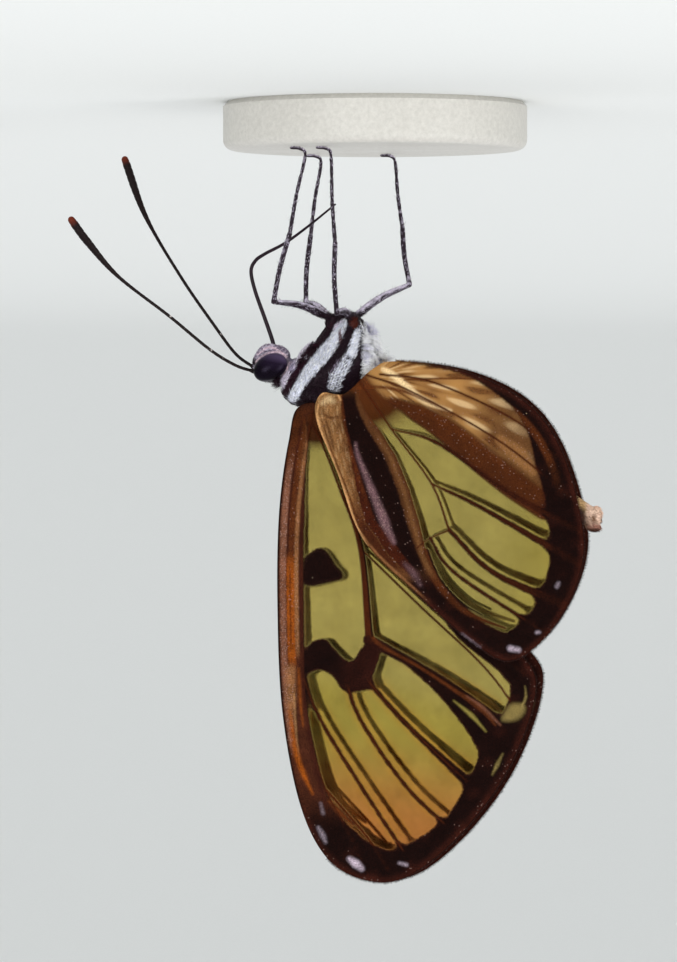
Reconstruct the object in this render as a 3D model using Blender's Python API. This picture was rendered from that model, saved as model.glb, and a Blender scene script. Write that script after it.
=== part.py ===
"""Glasswing butterfly at life size, standing on a small round base with its wings closed.

Lengths below are in millimetres and become metres when each mesh is made.
+X points to the head, +Y to the butterfly's left and +Z up. The origin is under
the middle of the model, at the level that the base rests on.
"""
import math

import bmesh
import bpy
from mathutils import Matrix, Vector
from mathutils.geometry import delaunay_2d_cdt

MM = 0.001
GAP = 0.3

# The base and the level of the soles that stand on it
BASE_RADIUS = 9.5
BASE_HEIGHT = 3.0
BASE_BEVEL = 0.6
BASE_CENTRE_X = -2.6
BASE_SIDES = 48
SOLE_Z = BASE_HEIGHT + GAP

# Wing plates: where each pair hinges, how far it stands from the middle plane,
# and how much the left wing is swung back so that both wings show from the right
FOREWING_ROOT = (0.2, 19.0)
HINDWING_ROOT = (-1.8, 17.25)
FOREWING_OFFSET = 0.46
HINDWING_OFFSET = 1.53
FOREWING_SWING = 1.2
HINDWING_SWING = 1.7
WING_THICKNESS = 0.5
ROOT_SPREAD = 0.92
ROOT_SPREAD_REACH = 2.2
TIP_FLARE = 0.5
WING_REACH = 30.0

# Veins stand out of the wing as low ridges, higher on the outer face
RIDGE_OUTER = 0.15
RIDGE_INNER = 0.05
RIDGE_HALF_WIDTH = 0.3
VEIN_CLEARANCE = 0.33
RIM_STEP = 1.1
VEIN_STEP = 1.3
FILL_STEP = 2.3
FILL_CLEARANCE = 0.8
WELD = 0.02

# Wing shapes as (forward, up) from the wing's own root, closed by a smooth curve
FOREWING_OUTLINE = [
    (1.8, -0.05), (2.6, 2.2), (3.2, 6.7), (3.3, 12.5), (3.0, 19.0), (1.9, 24.8),
    (0.2, 28.2), (-2.3, 29.6), (-4.9, 29.3), (-8.2, 26.6), (-11.0, 22.8), (-12.7, 18.4),
    (-12.2, 15.9), (-8.4, 13.0), (-5.6, 8.3), (-3.4, 2.4), (-1.3, 0.25),
]
FOREWING_VEINS = {
    "subcosta": [(1.9, 2.5), (2.45, 6.5), (2.65, 13.4), (2.5, 18.6)],
    "radius": [(1.1, 0.2), (1.7, 4.6), (1.8, 12.9), (1.7, 18.4), (0.6, 23.1), (-1.2, 26.8),
               (-2.2, 29.0)],
    "radial_branch": [(0.2, 24.0), (-2.3, 26.9), (-3.7, 29.0)],
    "cell_rear": [(1.25, 1.0), (0.5, 2.4), (-0.6, 5.2), (-1.9, 8.9), (-2.4, 14.6)],
    "cell_end": [(1.8, 15.9), (0.3, 15.8), (-1.1, 17.0), (-2.4, 14.6)],
    "media_1": [(1.75, 16.8), (0.6, 19.6), (-1.9, 23.7), (-5.1, 28.6)],
    "media_2": [(-0.9, 16.9), (-1.9, 19.6), (-4.7, 23.7), (-7.8, 26.7)],
    "media_3": [(-1.7, 16.3), (-3.4, 18.4), (-5.7, 20.8), (-9.6, 24.4)],
    "cubitus_1": [(-2.4, 14.6), (-5.7, 16.4), (-9.3, 18.8), (-11.6, 21.2)],
    "cubitus_2": [(-1.9, 8.9), (-5.6, 12.5), (-9.7, 16.4), (-12.1, 19.7)],
    "anal": [(-0.3, 0.2), (-3.1, 4.2), (-5.1, 8.9), (-7.8, 13.1), (-12.3, 16.9)],
}
HINDWING_OUTLINE = [
    (1.1, 1.0), (2.55, 1.0), (2.9, 2.5), (1.6, 5.8), (0.0, 10.0), (-3.0, 13.1), (-6.8, 16.4),
    (-9.2, 17.6), (-11.6, 15.9), (-13.4, 12.6), (-13.7, 9.4), (-12.4, 4.6), (-10.2, 1.6),
    (-6.5, -0.3), (-2.1, -1.0), (-0.6, -0.5),
]
HINDWING_VEINS = {
    "subcosta": [(1.0, 1.3), (0.6, 5.2), (-0.6, 9.2), (-3.2, 12.4), (-6.8, 15.5), (-9.3, 17.2)],
    "radial": [(0.6, 0.6), (-1.1, 3.6), (-2.4, 7.9), (-4.0, 11.5), (-7.1, 14.5), (-10.6, 16.6)],
    "cell_rear": [(0.2, 0.2), (-1.8, 3.2), (-4.3, 6.6), (-5.4, 9.5)],
    "cell_end": [(-5.4, 9.5), (-4.2, 10.0), (-3.4, 10.6)],
    "media_3": [(-4.2, 10.0), (-5.8, 12.2), (-11.4, 15.9)],
    "cubitus_1": [(-5.4, 9.5), (-8.1, 12.1), (-12.7, 14.2)],
    "cubitus_2": [(-4.3, 6.6), (-7.4, 8.1), (-13.5, 11.6)],
    "anal_1": [(-1.8, 3.2), (-4.7, 4.1), (-9.2, 7.2), (-13.6, 9.6)],
    "anal_2": [(-0.1, -0.2), (-3.1, 0.9), (-8.6, 4.0), (-13.1, 7.6)],
    "anal_3": [(-1.1, -0.2), (-4.4, 0.3), (-9.4, 2.6), (-12.1, 5.0)],
}

# Thorax sections from front to rear: x, underside, back, half width
THORAX_SECTIONS = [
    (2.52, 18.2, 18.45, 0.2), (2.36, 18.0, 18.58, 0.5), (1.96, 17.4, 18.62, 0.9),
    (1.5, 16.3, 18.65, 1.3), (1.05, 14.95, 18.68, 1.55), (0.2, 13.7, 18.83, 1.85),
    (-0.9, 13.15, 18.7, 1.95), (-1.9, 13.6, 18.0, 1.85), (-2.55, 14.9, 17.4, 1.1),
    (-2.8, 15.8, 16.8, 0.3),
]
THORAX_WAIST = 0.57
THORAX_KEEL = 0.3

# The hip joints of the four walking legs swell out of the underside of the thorax
COXA_CENTRES = [(0.15, 0.62, 13.9), (-1.15, 0.68, 13.85)]
COXA_RADII = (0.46, 0.42, 0.7)
COXA_TILT = 35.0

# Rounded ends: the rise of the middle point of a flat end, and for a tube's cap the
# reach and size of its second ring and the reach of its tip, as shares of the radius
POLE_RISE = 0.05
CAP_REACH = 0.55
CAP_SIZE = 0.78
CAP_TIP = 0.8

# Collar between head and thorax, leaning forward at the top
COLLAR_CENTRE = (2.4, 0.0, 16.85)
COLLAR_RADII = (0.26, 1.15, 1.35)
COLLAR_TILT = 22.5

# Head with the two eyes set into its sides
HEAD_CENTRE = (4.05, 0.0, 16.5)
HEAD_RADII = (1.12, 1.05, 1.2)
EYE_CENTRE = (3.94, 1.0, 16.6)
EYE_RADII = (1.12, 0.83)
EYE_TILT = -29.0
EYE_BULGE = 0.66
EYE_DEPTH = 0.3
SOCKET_CLEARANCE = 0.34
FRONS_CENTRE = (4.6, 0.0, 16.3)
FRONS_RADII = (0.6, 0.55, 0.85)

# Palps, feeding tube and feelers as routes of (x, y, z); y is the right side's sign
PALP_ROUTE = [(3.6, 0.74, 15.02), (4.4, 0.74, 14.9), (5.1, 0.66, 15.14), (5.5, 0.55, 15.78)]
PALP_RADII = [(0.0, 0.25), (0.4, 0.3), (0.75, 0.26), (1.0, 0.14)]
TONGUE_BASE_ROUTE = [(3.85, 0.0, 14.8), (4.35, 0.0, 13.5), (4.85, 0.0, 12.0), (5.1, 0.0, 10.9)]
TONGUE_TIP_ROUTE = [(5.03, 0.0, 10.15), (4.3, 0.0, 9.5), (3.0, 0.0, 8.8), (1.5, 0.05, 7.7),
                    (-0.1, 0.1, 6.4)]
TONGUE_BASE_RADII = [(0.0, 0.25), (1.0, 0.25)]
TONGUE_TIP_RADII = [(0.0, 0.25), (0.7, 0.25), (1.0, 0.12)]
RIGHT_ANTENNA_ROUTE = [(5.53, -0.5, 17.05), (6.3, -0.8, 16.6), (7.7, -1.4, 15.5), (10.2, -2.9, 13.5),
                       (13.3, -4.7, 11.3), (15.5, -5.8, 8.8), (16.4, -6.2, 7.5)]
LEFT_ANTENNA_ROUTE = [(5.53, 0.5, 17.0), (6.4, 0.95, 15.6), (7.5, 1.3, 13.5), (9.4, 2.4, 10.9),
                      (11.8, 3.9, 7.0), (13.0, 4.9, 3.6)]
ANTENNA_RADII = [(0.0, 0.25), (0.62, 0.25), (0.78, 0.31), (0.93, 0.31), (1.0, 0.14)]

# Abdomen as a route with rings that mark its segments
ABDOMEN_ROUTE = [(-3.5, 0.0, 16.9), (-5.5, 0.0, 18.75), (-9.9, 0.0, 22.3), (-13.5, 0.0, 24.6),
                 (-16.6, 0.0, 26.2)]
ABDOMEN_RADII = [(0.0, 0.5), (0.12, 0.82), (0.35, 0.92), (0.7, 0.92), (0.9, 0.85), (1.0, 0.45)]
ABDOMEN_SEGMENTS = 8
ABDOMEN_GROOVE = 0.06

# Legs: hip, knee, ankle and foot of each, with the toes laid on the base
LEG_JOINTS = {
    "midleg_right": ((0.52, -1.5, 13.3), (3.7, -4.2, 12.6), (2.7, -4.4, 8.4), (1.75, -4.5)),
    "midleg_left": ((0.4, 1.6, 13.3), (1.75, 4.4, 12.4), (1.45, 4.6, 8.2), (0.8, 4.7)),
    "hindleg_right": ((-1.05, -1.72, 13.35), (-0.2, -4.6, 13.3), (-0.1, -4.7, 9.0), (0.15, -4.8)),
    "hindleg_left": ((-1.75, 1.45, 13.2), (-4.8, 4.1, 11.3), (-4.35, 4.3, 7.7), (-3.9, 4.4)),
}
FEMUR_RADII = [(0.0, 0.25), (0.4, 0.32), (1.0, 0.26)]
TIBIA_RADII = [(0.0, 0.25), (0.5, 0.27), (1.0, 0.25)]
TARSUS_RADII = [(0.0, 0.25), (0.9, 0.25), (1.0, 0.16)]
KNEE_GAP = 0.28
ANKLE_GAP = 0.12

# Each foot comes down on its heel, bends and lays its toes forward and outward
HEEL_RISE = 0.6
SHANK_SHARE = 0.35
BEND_AHEAD = 0.25
BEND_ASIDE = 0.08
BEND_RISE = 0.08
TOE_LENGTH = 0.9
TOE_ASIDE = 0.3

# The small folded forelegs lie along the front of the thorax
FORELEG_ROUTE = [(1.08, 0.95, 14.0), (1.53, 0.85, 14.6), (1.98, 0.7, 15.25)]
FORELEG_RADII = [(0.0, 0.22), (0.5, 0.27), (1.0, 0.2)]

# Facets of swept parts: sides round the section, distance from ring to ring
THORAX_FACETS = (24, 0.42)
ABDOMEN_FACETS = (18, 0.45)
PALP_FACETS = (10, 0.3)
TONGUE_FACETS = (8, 0.6)
ANTENNA_FACETS = (8, 0.75)
FEMUR_FACETS = (10, 0.7)
TIBIA_FACETS = (8, 0.7)
TARSUS_FACETS = (8, 0.45)
FORELEG_FACETS = (8, 0.4)

# Facets of rounded parts: bands from pole to pole, sides round them
COXA_FACETS = (8, 12)
COLLAR_FACETS = (8, 20)
HEAD_FACETS = (14, 22)
FRONS_FACETS = (10, 16)
EYE_FACETS = (14, 20)
SOCKET_FACETS = (10, 16)
CURVE_STEPS = 24
BEVEL_STEPS = 3


def clear_scene():
    for item in list(bpy.data.objects):
        bpy.data.objects.remove(item, do_unlink=True)


def material(name, colour, roughness, metallic=0.0, alpha=1.0):
    made = bpy.data.materials.new(name)
    made.use_nodes = True
    shader = made.node_tree.nodes["Principled BSDF"]
    shader.inputs["Base Color"].default_value = (*colour, 1.0)
    shader.inputs["Roughness"].default_value = roughness
    shader.inputs["Metallic"].default_value = metallic
    shader.inputs["Alpha"].default_value = alpha
    made.diffuse_color = (*colour, alpha)
    return made


def add_object(name, points, faces, finish, sharp_angle=50.0):
    """Make one closed, outward-facing object from points in millimetres."""
    mesh = bpy.data.meshes.new(name)
    work = bmesh.new()
    corners = [work.verts.new(Vector(point) * MM) for point in points]
    for face in faces:
        work.faces.new([corners[index] for index in face])
    bmesh.ops.recalc_face_normals(work, faces=work.faces)
    work.to_mesh(mesh)
    work.free()
    mesh.shade_smooth()
    mesh.set_sharp_from_angle(angle=math.radians(sharp_angle))
    mesh.materials.append(finish)
    made = bpy.data.objects.new(name, mesh)
    bpy.context.scene.collection.objects.link(made)
    return made


def spline_point(before, start, end, after, t):
    """Return a point of the Catmull-Rom curve between start and end."""
    return 0.5 * (2 * start + (end - before) * t
                  + (2 * before - 5 * start + 4 * end - after) * t * t
                  + (3 * start - before - 3 * end + after) * t ** 3)


def smooth_line(points, step, closed=False):
    """Return evenly spaced points on a smooth curve through the given ones."""
    knots = [Vector(point) for point in points]
    count = len(knots)
    if closed:
        knots = [knots[-1]] + knots + knots[:2]
    else:
        knots = [2 * knots[0] - knots[1]] + knots + [2 * knots[-1] - knots[-2]]
        count -= 1
    fine = [spline_point(*knots[index:index + 4], turn / CURVE_STEPS)
            for index in range(count) for turn in range(CURVE_STEPS)]
    fine.append(knots[1] if closed else knots[-2])
    return even_points(fine, step, closed)


def even_points(fine, step, closed):
    """Return points at equal distances along a fine polyline."""
    lengths = [0.0]
    for first, second in zip(fine, fine[1:]):
        lengths.append(lengths[-1] + (second - first).length)
    parts = max(2, round(lengths[-1] / step))
    result = []
    index = 0
    for part in range(parts if closed else parts + 1):
        target = lengths[-1] * part / parts
        while index < len(fine) - 2 and lengths[index + 1] < target:
            index += 1
        share = (target - lengths[index]) / max(lengths[index + 1] - lengths[index], 1e-9)
        result.append(fine[index].lerp(fine[index + 1], share))
    return result


def read_profile(profile, share):
    """Return the value at a share of the way along a list of (share, value)."""
    for (start, low), (end, high) in zip(profile, profile[1:]):
        if share <= end:
            return low + (high - low) * (share - start) / (end - start)
    return profile[-1][1]


def ring_mesh(rings, first_pole, last_pole):
    """Join equal rings of points into a closed skin with a pole at each end."""
    sides = len(rings[0])
    points = [first_pole] + [point for ring in rings for point in ring] + [last_pole]
    last = len(points) - 1
    faces = []
    for side in range(sides):
        after = (side + 1) % sides
        faces.append((0, 1 + after, 1 + side))
        for level in range(len(rings) - 1):
            low = 1 + level * sides
            high = low + sides
            faces.append((low + side, low + after, high + after, high + side))
        top = last - sides
        faces.append((last, top + side, top + after))
    return points, faces


def tube(name, route, radii, facets, finish, flat_z=None):
    """Sweep a round section along a smooth route, with rounded ends."""
    sides, step = facets
    line = smooth_line(route, step)
    total = len(line) - 1
    rings = []
    across = Vector((0.0, 1.0, 0.0))
    for index, centre in enumerate(line):
        forward = (line[min(index + 1, total)] - line[max(index - 1, 0)]).normalized()
        across = (across - forward * across.dot(forward)).normalized()
        over = forward.cross(across)
        radius = read_profile(radii, index / total)
        spots = [(centre, radius)]
        if index == 0:
            spots = end_cap(centre, -forward, radius)[::-1]
        elif index == total:
            spots = end_cap(centre, forward, radius)
        for middle, size in spots:
            rings.append([middle + size * (math.cos(turn) * across + math.sin(turn) * over)
                          for turn in (2 * math.pi * side / sides for side in range(sides))])
    start_way = (line[0] - line[1]).normalized()
    end_way = (line[-1] - line[-2]).normalized()
    first = line[0] + start_way * radii[0][1] * CAP_TIP
    last = line[-1] + end_way * radii[-1][1] * CAP_TIP
    points, faces = ring_mesh(rings, first, last)
    if flat_z is not None:
        points = [Vector((point.x, point.y, max(point.z, flat_z))) for point in points]
    return add_object(name, points, faces, finish)


def end_cap(centre, outward, radius):
    """Return the rings that round off a tube's end."""
    return [(centre, radius), (centre + outward * radius * CAP_REACH, radius * CAP_SIZE)]


def ball_points(centre, radii, facets, reshape=None):
    """Return the points and faces of an ellipsoid with its poles on X."""
    bands, sides = facets
    middle = Vector(centre)
    levels = []
    for level in range(1, bands):
        tilt = math.pi * level / bands
        ring = []
        for side in range(sides):
            turn = 2 * math.pi * side / sides
            unit = Vector((math.cos(tilt), math.sin(tilt) * math.cos(turn),
                           math.sin(tilt) * math.sin(turn)))
            ring.append(unit)
        levels.append(ring)
    points, faces = ring_mesh(levels, Vector((1.0, 0.0, 0.0)), Vector((-1.0, 0.0, 0.0)))
    placed = []
    for unit in points:
        spot = Vector(unit[axis] * radii[axis] for axis in range(3))
        placed.append(middle + (reshape(spot) if reshape else spot))
    return placed, faces


def boolean(target, cutter, operation):
    """Apply a union or difference and remove the second object."""
    step = target.modifiers.new(operation.lower(), "BOOLEAN")
    step.operation = operation
    step.solver = "EXACT"
    step.object = cutter
    settled = target.evaluated_get(bpy.context.evaluated_depsgraph_get())
    finished = bpy.data.meshes.new_from_object(settled)
    target.modifiers.clear()
    target.data = finished
    finished.name = target.name
    bpy.data.objects.remove(cutter, do_unlink=True)


def segment_distance(point, line):
    """Return the distance from a 2D point to a polyline."""
    nearest = 1e9
    for start, end in zip(line, line[1:]):
        along = end - start
        share = max(0.0, min(1.0, (point - start).dot(along) / along.length_squared))
        nearest = min(nearest, (point - start - along * share).length)
    return nearest


def inside(point, outline):
    """Tell whether a 2D point is inside a closed outline."""
    crossings = 0
    for start, end in zip(outline, outline[1:] + outline[:1]):
        if (start.y > point.y) != (end.y > point.y):
            crossing_x = start.x + (end.x - start.x) * (point.y - start.y) / (end.y - start.y)
            crossings += point.x < crossing_x
    return crossings % 2 == 1


def vein_feet(name, veins, rim, side):
    """Return one foot line of a vein's ridge, with None where it meets other veins."""
    line = veins[name]
    feet = []
    for index, spot in enumerate(line):
        along = line[min(index + 1, len(line) - 1)] - line[max(index - 1, 0)]
        normal = Vector((-along.y, along.x)).normalized()
        foot = spot + normal * side * RIDGE_HALF_WIDTH
        crowded = any(segment_distance(foot, other) < VEIN_CLEARANCE
                      for key, other in veins.items() if key != name)
        edge = segment_distance(foot, rim + rim[:1]) < RIDGE_HALF_WIDTH
        feet.append(None if crowded or edge or not inside(foot, rim) else foot)
    return feet


def wing_plan(outline, vein_points):
    """Split the wing's flat shape into triangles that follow its rim and its veins."""
    rim = smooth_line(outline, RIM_STEP, closed=True)
    veins = {name: smooth_line(points, VEIN_STEP) for name, points in vein_points.items()}
    points = list(rim)
    edges = [(index, (index + 1) % len(rim)) for index in range(len(rim))]
    for name, line in veins.items():
        for strand in (line, vein_feet(name, veins, rim, 1), vein_feet(name, veins, rim, -1)):
            last = None
            for spot in strand:
                if spot is None:
                    last = None
                    continue
                points.append(spot)
                if last is not None:
                    edges.append((last, len(points) - 1))
                last = len(points) - 1
    points += fill_points(rim, veins)
    spots, _, faces, *_ = delaunay_2d_cdt(points, edges, [], 1, WELD)
    return rim, veins, spots, faces


def fill_points(rim, veins):
    """Return loose points that keep the triangles of the open cells even."""
    low_x = min(spot.x for spot in rim)
    low_z = min(spot.y for spot in rim)
    columns = int((max(spot.x for spot in rim) - low_x) / FILL_STEP) + 2
    rows = int((max(spot.y for spot in rim) - low_z) / FILL_STEP) + 2
    found = []
    for row in range(rows):
        for column in range(columns):
            shift = 0.5 * (row % 2)
            spot = Vector((low_x + (column + shift) * FILL_STEP, low_z + row * FILL_STEP))
            clear = all(segment_distance(spot, line) > FILL_CLEARANCE + RIDGE_HALF_WIDTH
                        for line in veins.values())
            if clear and inside(spot, rim) and segment_distance(spot, rim + rim[:1]) > FILL_CLEARANCE:
                found.append(spot)
    return found


def wing_distance(spot):
    """Return how far a side-view spot lies from the line of the two wing roots."""
    return segment_distance(spot, [Vector(FOREWING_ROOT), Vector(HINDWING_ROOT)])


def wing_stand_off(spot, offset):
    """Return the distance of the wing's middle surface from the middle plane."""
    away = wing_distance(spot)
    near_root = ROOT_SPREAD * math.exp(-away / ROOT_SPREAD_REACH)
    return offset + near_root + TIP_FLARE * (away / WING_REACH) ** 2


def wing(name, outline, vein_points, root, offset, side, swing, finish):
    """Build one wing as a thin curved plate with its veins raised from both faces."""
    rim, veins, spots, faces = wing_plan(outline, vein_points)
    turn = math.radians(swing)
    middle = []
    ridge = []
    for spot in spots:
        crest = min(segment_distance(spot, line) for line in veins.values())
        ridge.append(max(0.0, 1.0 - crest / RIDGE_HALF_WIDTH))
        swung = Vector((spot.x * math.cos(turn) - spot.y * math.sin(turn),
                        spot.x * math.sin(turn) + spot.y * math.cos(turn)))
        middle.append(swung + Vector(root))
    points = []
    for half, lift in ((WING_THICKNESS / 2, RIDGE_OUTER), (-WING_THICKNESS / 2, -RIDGE_INNER)):
        for spot, height in zip(middle, ridge):
            y = wing_stand_off(spot, offset) + half + lift * height
            points.append((spot.x, side * y, spot.y))
    count = len(middle)
    skin = [tuple(face) for face in faces]
    skin += [tuple(index + count for index in reversed(face)) for face in faces]
    for start, end in border_edges(faces):
        skin.append((end, start, start + count))
        skin.append((end, start + count, end + count))
    return add_object(name, points, skin, finish)


def border_edges(faces):
    """Return the directed edges that belong to only one triangle."""
    used = {(face[i], face[(i + 1) % len(face)]) for face in faces for i in range(len(face))}
    return sorted(edge for edge in used if (edge[1], edge[0]) not in used)


def wings(finish):
    for label, side, swings in (("right", -1, (0.0, 0.0)),
                                ("left", 1, (FOREWING_SWING, HINDWING_SWING))):
        wing(f"forewing_{label}", FOREWING_OUTLINE, FOREWING_VEINS, FOREWING_ROOT,
             FOREWING_OFFSET, side, swings[0], finish)
        wing(f"hindwing_{label}", HINDWING_OUTLINE, HINDWING_VEINS, HINDWING_ROOT,
             HINDWING_OFFSET, side, swings[1], finish)


def thorax(finish):
    """Loft upright sections, widest above the middle and narrow at the keel, and add the hips."""
    sides, step = THORAX_FACETS
    rings = []
    for x, low, high, half_width in smooth_line(THORAX_SECTIONS, step):
        waist = low + THORAX_WAIST * (high - low)
        ring = []
        for index in range(sides):
            turn = 2 * math.pi * index / sides
            rise = math.sin(turn)
            reach = (high - waist) if rise > 0 else (waist - low)
            narrow = 1.0 - THORAX_KEEL * max(0.0, -rise)
            ring.append(Vector((x, half_width * narrow * math.cos(turn), waist + reach * rise)))
        rings.append(ring)
    front, rear = THORAX_SECTIONS[0], THORAX_SECTIONS[-1]
    first = Vector((front[0] + POLE_RISE, 0.0, (front[1] + front[2]) / 2))
    last = Vector((rear[0] - POLE_RISE, 0.0, (rear[1] + rear[2]) / 2))
    points, faces = ring_mesh(rings, first, last)
    trunk = add_object("thorax", points, faces, finish)
    for x, y, z in COXA_CENTRES:
        for side in (-1, 1):
            tilt = Matrix.Rotation(side * math.radians(COXA_TILT), 3, "X")
            points, faces = ball_points((x, y * side, z), COXA_RADII, COXA_FACETS,
                                        tilt.__matmul__)
            boolean(trunk, add_object("coxa", points, faces, finish), "UNION")


def collar(finish):
    tilt = Matrix.Rotation(math.radians(COLLAR_TILT), 3, "Y")
    points, faces = ball_points(COLLAR_CENTRE, COLLAR_RADII, COLLAR_FACETS, tilt.__matmul__)
    add_object("collar", points, faces, finish)


def abdomen(finish):
    """Sweep the abdomen with a shallow groove where each segment meets the next."""
    line = smooth_line(ABDOMEN_ROUTE, ABDOMEN_FACETS[1])
    radii = []
    for index in range(len(line)):
        share = index / (len(line) - 1)
        wave = abs(math.sin(math.pi * share * ABDOMEN_SEGMENTS))
        radii.append((share, read_profile(ABDOMEN_RADII, share) - ABDOMEN_GROOVE * (1 - wave)))
    tube("abdomen", line, radii, ABDOMEN_FACETS, finish)


def eye_shape(side, grow):
    """Return a reshaping function for a tilted oval, deep outside and shallow inside."""
    tilt = Matrix.Rotation(math.radians(EYE_TILT), 3, "Y")

    def reshape(spot):
        outward = spot.y * side
        depth = (EYE_BULGE if outward > 0 else EYE_DEPTH) + grow
        return tilt @ Vector((spot.x * (EYE_RADII[0] + grow), spot.y * depth,
                              spot.z * (EYE_RADII[1] + grow)))
    return reshape


def eye_ball(name, side, grow, finish, facets):
    centre = (EYE_CENTRE[0], side * EYE_CENTRE[1], EYE_CENTRE[2])
    points, faces = ball_points(centre, (1.0, 1.0, 1.0), facets, eye_shape(side, grow))
    return add_object(name, points, faces, finish)


def head(finish, eye_finish):
    """Make the head round a bulging face and hollow its sides for the eyes."""
    points, faces = ball_points(HEAD_CENTRE, HEAD_RADII, HEAD_FACETS)
    skull = add_object("head", points, faces, finish)
    points, faces = ball_points(FRONS_CENTRE, FRONS_RADII, FRONS_FACETS)
    face = add_object("head_face", points, faces, finish)
    boolean(skull, face, "UNION")
    for label, side in (("right", -1), ("left", 1)):
        socket = eye_ball("socket_" + label, side, SOCKET_CLEARANCE, finish, SOCKET_FACETS)
        boolean(skull, socket, "DIFFERENCE")
        eye_ball("eye_" + label, side, 0.0, eye_finish, EYE_FACETS)


def mirrored(route, side):
    return [(x, y * side, z) for x, y, z in route]


def mouth_parts(palp_finish, tongue_finish):
    for label, side in (("right", -1), ("left", 1)):
        tube("palp_" + label, mirrored(PALP_ROUTE, side), PALP_RADII, PALP_FACETS, palp_finish)
    tube("proboscis_base", TONGUE_BASE_ROUTE, TONGUE_BASE_RADII, TONGUE_FACETS, tongue_finish)
    tube("proboscis_tip", TONGUE_TIP_ROUTE, TONGUE_TIP_RADII, TONGUE_FACETS, tongue_finish)


def antennae(finish):
    tube("antenna_right", RIGHT_ANTENNA_ROUTE, ANTENNA_RADII, ANTENNA_FACETS, finish)
    tube("antenna_left", LEFT_ANTENNA_ROUTE, ANTENNA_RADII, ANTENNA_FACETS, finish)


def shortened(start, end, start_cut, end_cut):
    """Return the two ends of a straight limb, drawn back from its joints."""
    start, end = Vector(start), Vector(end)
    way = (end - start).normalized()
    return [start + way * start_cut, end - way * end_cut]


def legs(finish):
    """Build each walking leg as thigh, shin and foot with fine gaps at the joints."""
    for name, (hip, knee, ankle, foot) in LEG_JOINTS.items():
        back = KNEE_GAP + FEMUR_RADII[-1][1]
        tube(name + "_femur", shortened(hip, knee, 0.0, back), FEMUR_RADII, FEMUR_FACETS,
             finish)
        short = ANKLE_GAP + TIBIA_RADII[-1][1]
        tube(name + "_tibia", shortened(knee, ankle, back, short), TIBIA_RADII, TIBIA_FACETS,
             finish)
        toe_z = SOLE_Z + TARSUS_RADII[-1][1]
        outward = math.copysign(1.0, foot[1])
        heel = (foot[0], foot[1], toe_z + HEEL_RISE)
        top = shortened(ankle, heel, short, 0.0)[0]
        bend = (foot[0] + BEND_AHEAD, foot[1] + BEND_ASIDE * outward, toe_z + BEND_RISE)
        toe = (foot[0] + TOE_LENGTH, foot[1] + TOE_ASIDE * outward, toe_z)
        route = [top, Vector(heel).lerp(top, SHANK_SHARE), heel, bend, toe]
        tube(name + "_tarsus", route, TARSUS_RADII, TARSUS_FACETS, finish, flat_z=SOLE_Z)


def forelegs(finish):
    for label, side in (("right", -1), ("left", 1)):
        tube("foreleg_" + label, mirrored(FORELEG_ROUTE, side), FORELEG_RADII, FORELEG_FACETS,
             finish)


def base(finish):
    """Turn a low disc with a bevelled upper edge."""
    profile = [(BASE_RADIUS - BASE_BEVEL / 2, 0.0), (BASE_RADIUS, BASE_BEVEL / 2),
               (BASE_RADIUS, BASE_HEIGHT - BASE_BEVEL)]
    for index in range(1, BEVEL_STEPS + 1):
        turn = math.radians(90.0 * index / BEVEL_STEPS)
        profile.append((BASE_RADIUS - BASE_BEVEL * (1 - math.cos(turn)),
                        BASE_HEIGHT - BASE_BEVEL * (1 - math.sin(turn))))
    rings = []
    for radius, z in profile:
        rings.append([Vector((BASE_CENTRE_X + radius * math.cos(turn), radius * math.sin(turn), z))
                      for turn in (2 * math.pi * side / BASE_SIDES for side in range(BASE_SIDES))])
    points, faces = ring_mesh(rings, Vector((BASE_CENTRE_X, 0.0, 0.0)),
                              Vector((BASE_CENTRE_X, 0.0, BASE_HEIGHT)))
    add_object("stand_base", points, faces, finish, 20.0)


def main():
    clear_scene()
    dark = material("dark_body", (0.03, 0.012, 0.018), 0.55)
    brown = material("brown_abdomen", (0.16, 0.07, 0.045), 0.6)
    eye = material("eye_glaze", (0.012, 0.006, 0.02), 0.15)
    limb = material("limb", (0.07, 0.04, 0.045), 0.6)
    palp = material("palp_scales", (0.25, 0.23, 0.24), 0.7)
    wing_skin = material("wing_membrane", (0.35, 0.29, 0.1), 0.35, alpha=0.6)
    plate = material("base_resin", (0.7, 0.7, 0.68), 0.5)
    base(plate)
    thorax(dark)
    collar(dark)
    abdomen(brown)
    head(dark, eye)
    mouth_parts(palp, dark)
    antennae(dark)
    forelegs(limb)
    legs(limb)
    wings(wing_skin)


main()
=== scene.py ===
import math

import bpy
import numpy as np
from mathutils import Matrix, Vector
from mathutils.geometry import delaunay_2d_cdt


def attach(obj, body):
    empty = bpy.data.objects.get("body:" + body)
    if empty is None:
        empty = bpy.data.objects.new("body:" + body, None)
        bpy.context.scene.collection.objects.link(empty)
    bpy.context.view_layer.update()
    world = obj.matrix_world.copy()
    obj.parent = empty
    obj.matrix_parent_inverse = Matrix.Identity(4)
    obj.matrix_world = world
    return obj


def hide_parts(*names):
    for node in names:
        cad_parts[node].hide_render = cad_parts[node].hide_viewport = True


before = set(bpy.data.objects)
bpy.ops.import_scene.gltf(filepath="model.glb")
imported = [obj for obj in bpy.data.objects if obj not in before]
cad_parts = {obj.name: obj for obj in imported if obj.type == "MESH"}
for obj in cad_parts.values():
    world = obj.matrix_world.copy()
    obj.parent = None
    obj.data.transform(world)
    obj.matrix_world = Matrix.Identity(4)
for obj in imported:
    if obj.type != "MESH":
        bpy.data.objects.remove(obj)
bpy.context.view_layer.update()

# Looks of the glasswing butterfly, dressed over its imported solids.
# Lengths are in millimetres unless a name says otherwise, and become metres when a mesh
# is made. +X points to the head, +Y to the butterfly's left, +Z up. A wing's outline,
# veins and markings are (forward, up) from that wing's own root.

MM = 0.001
SEED = 2026

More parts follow.
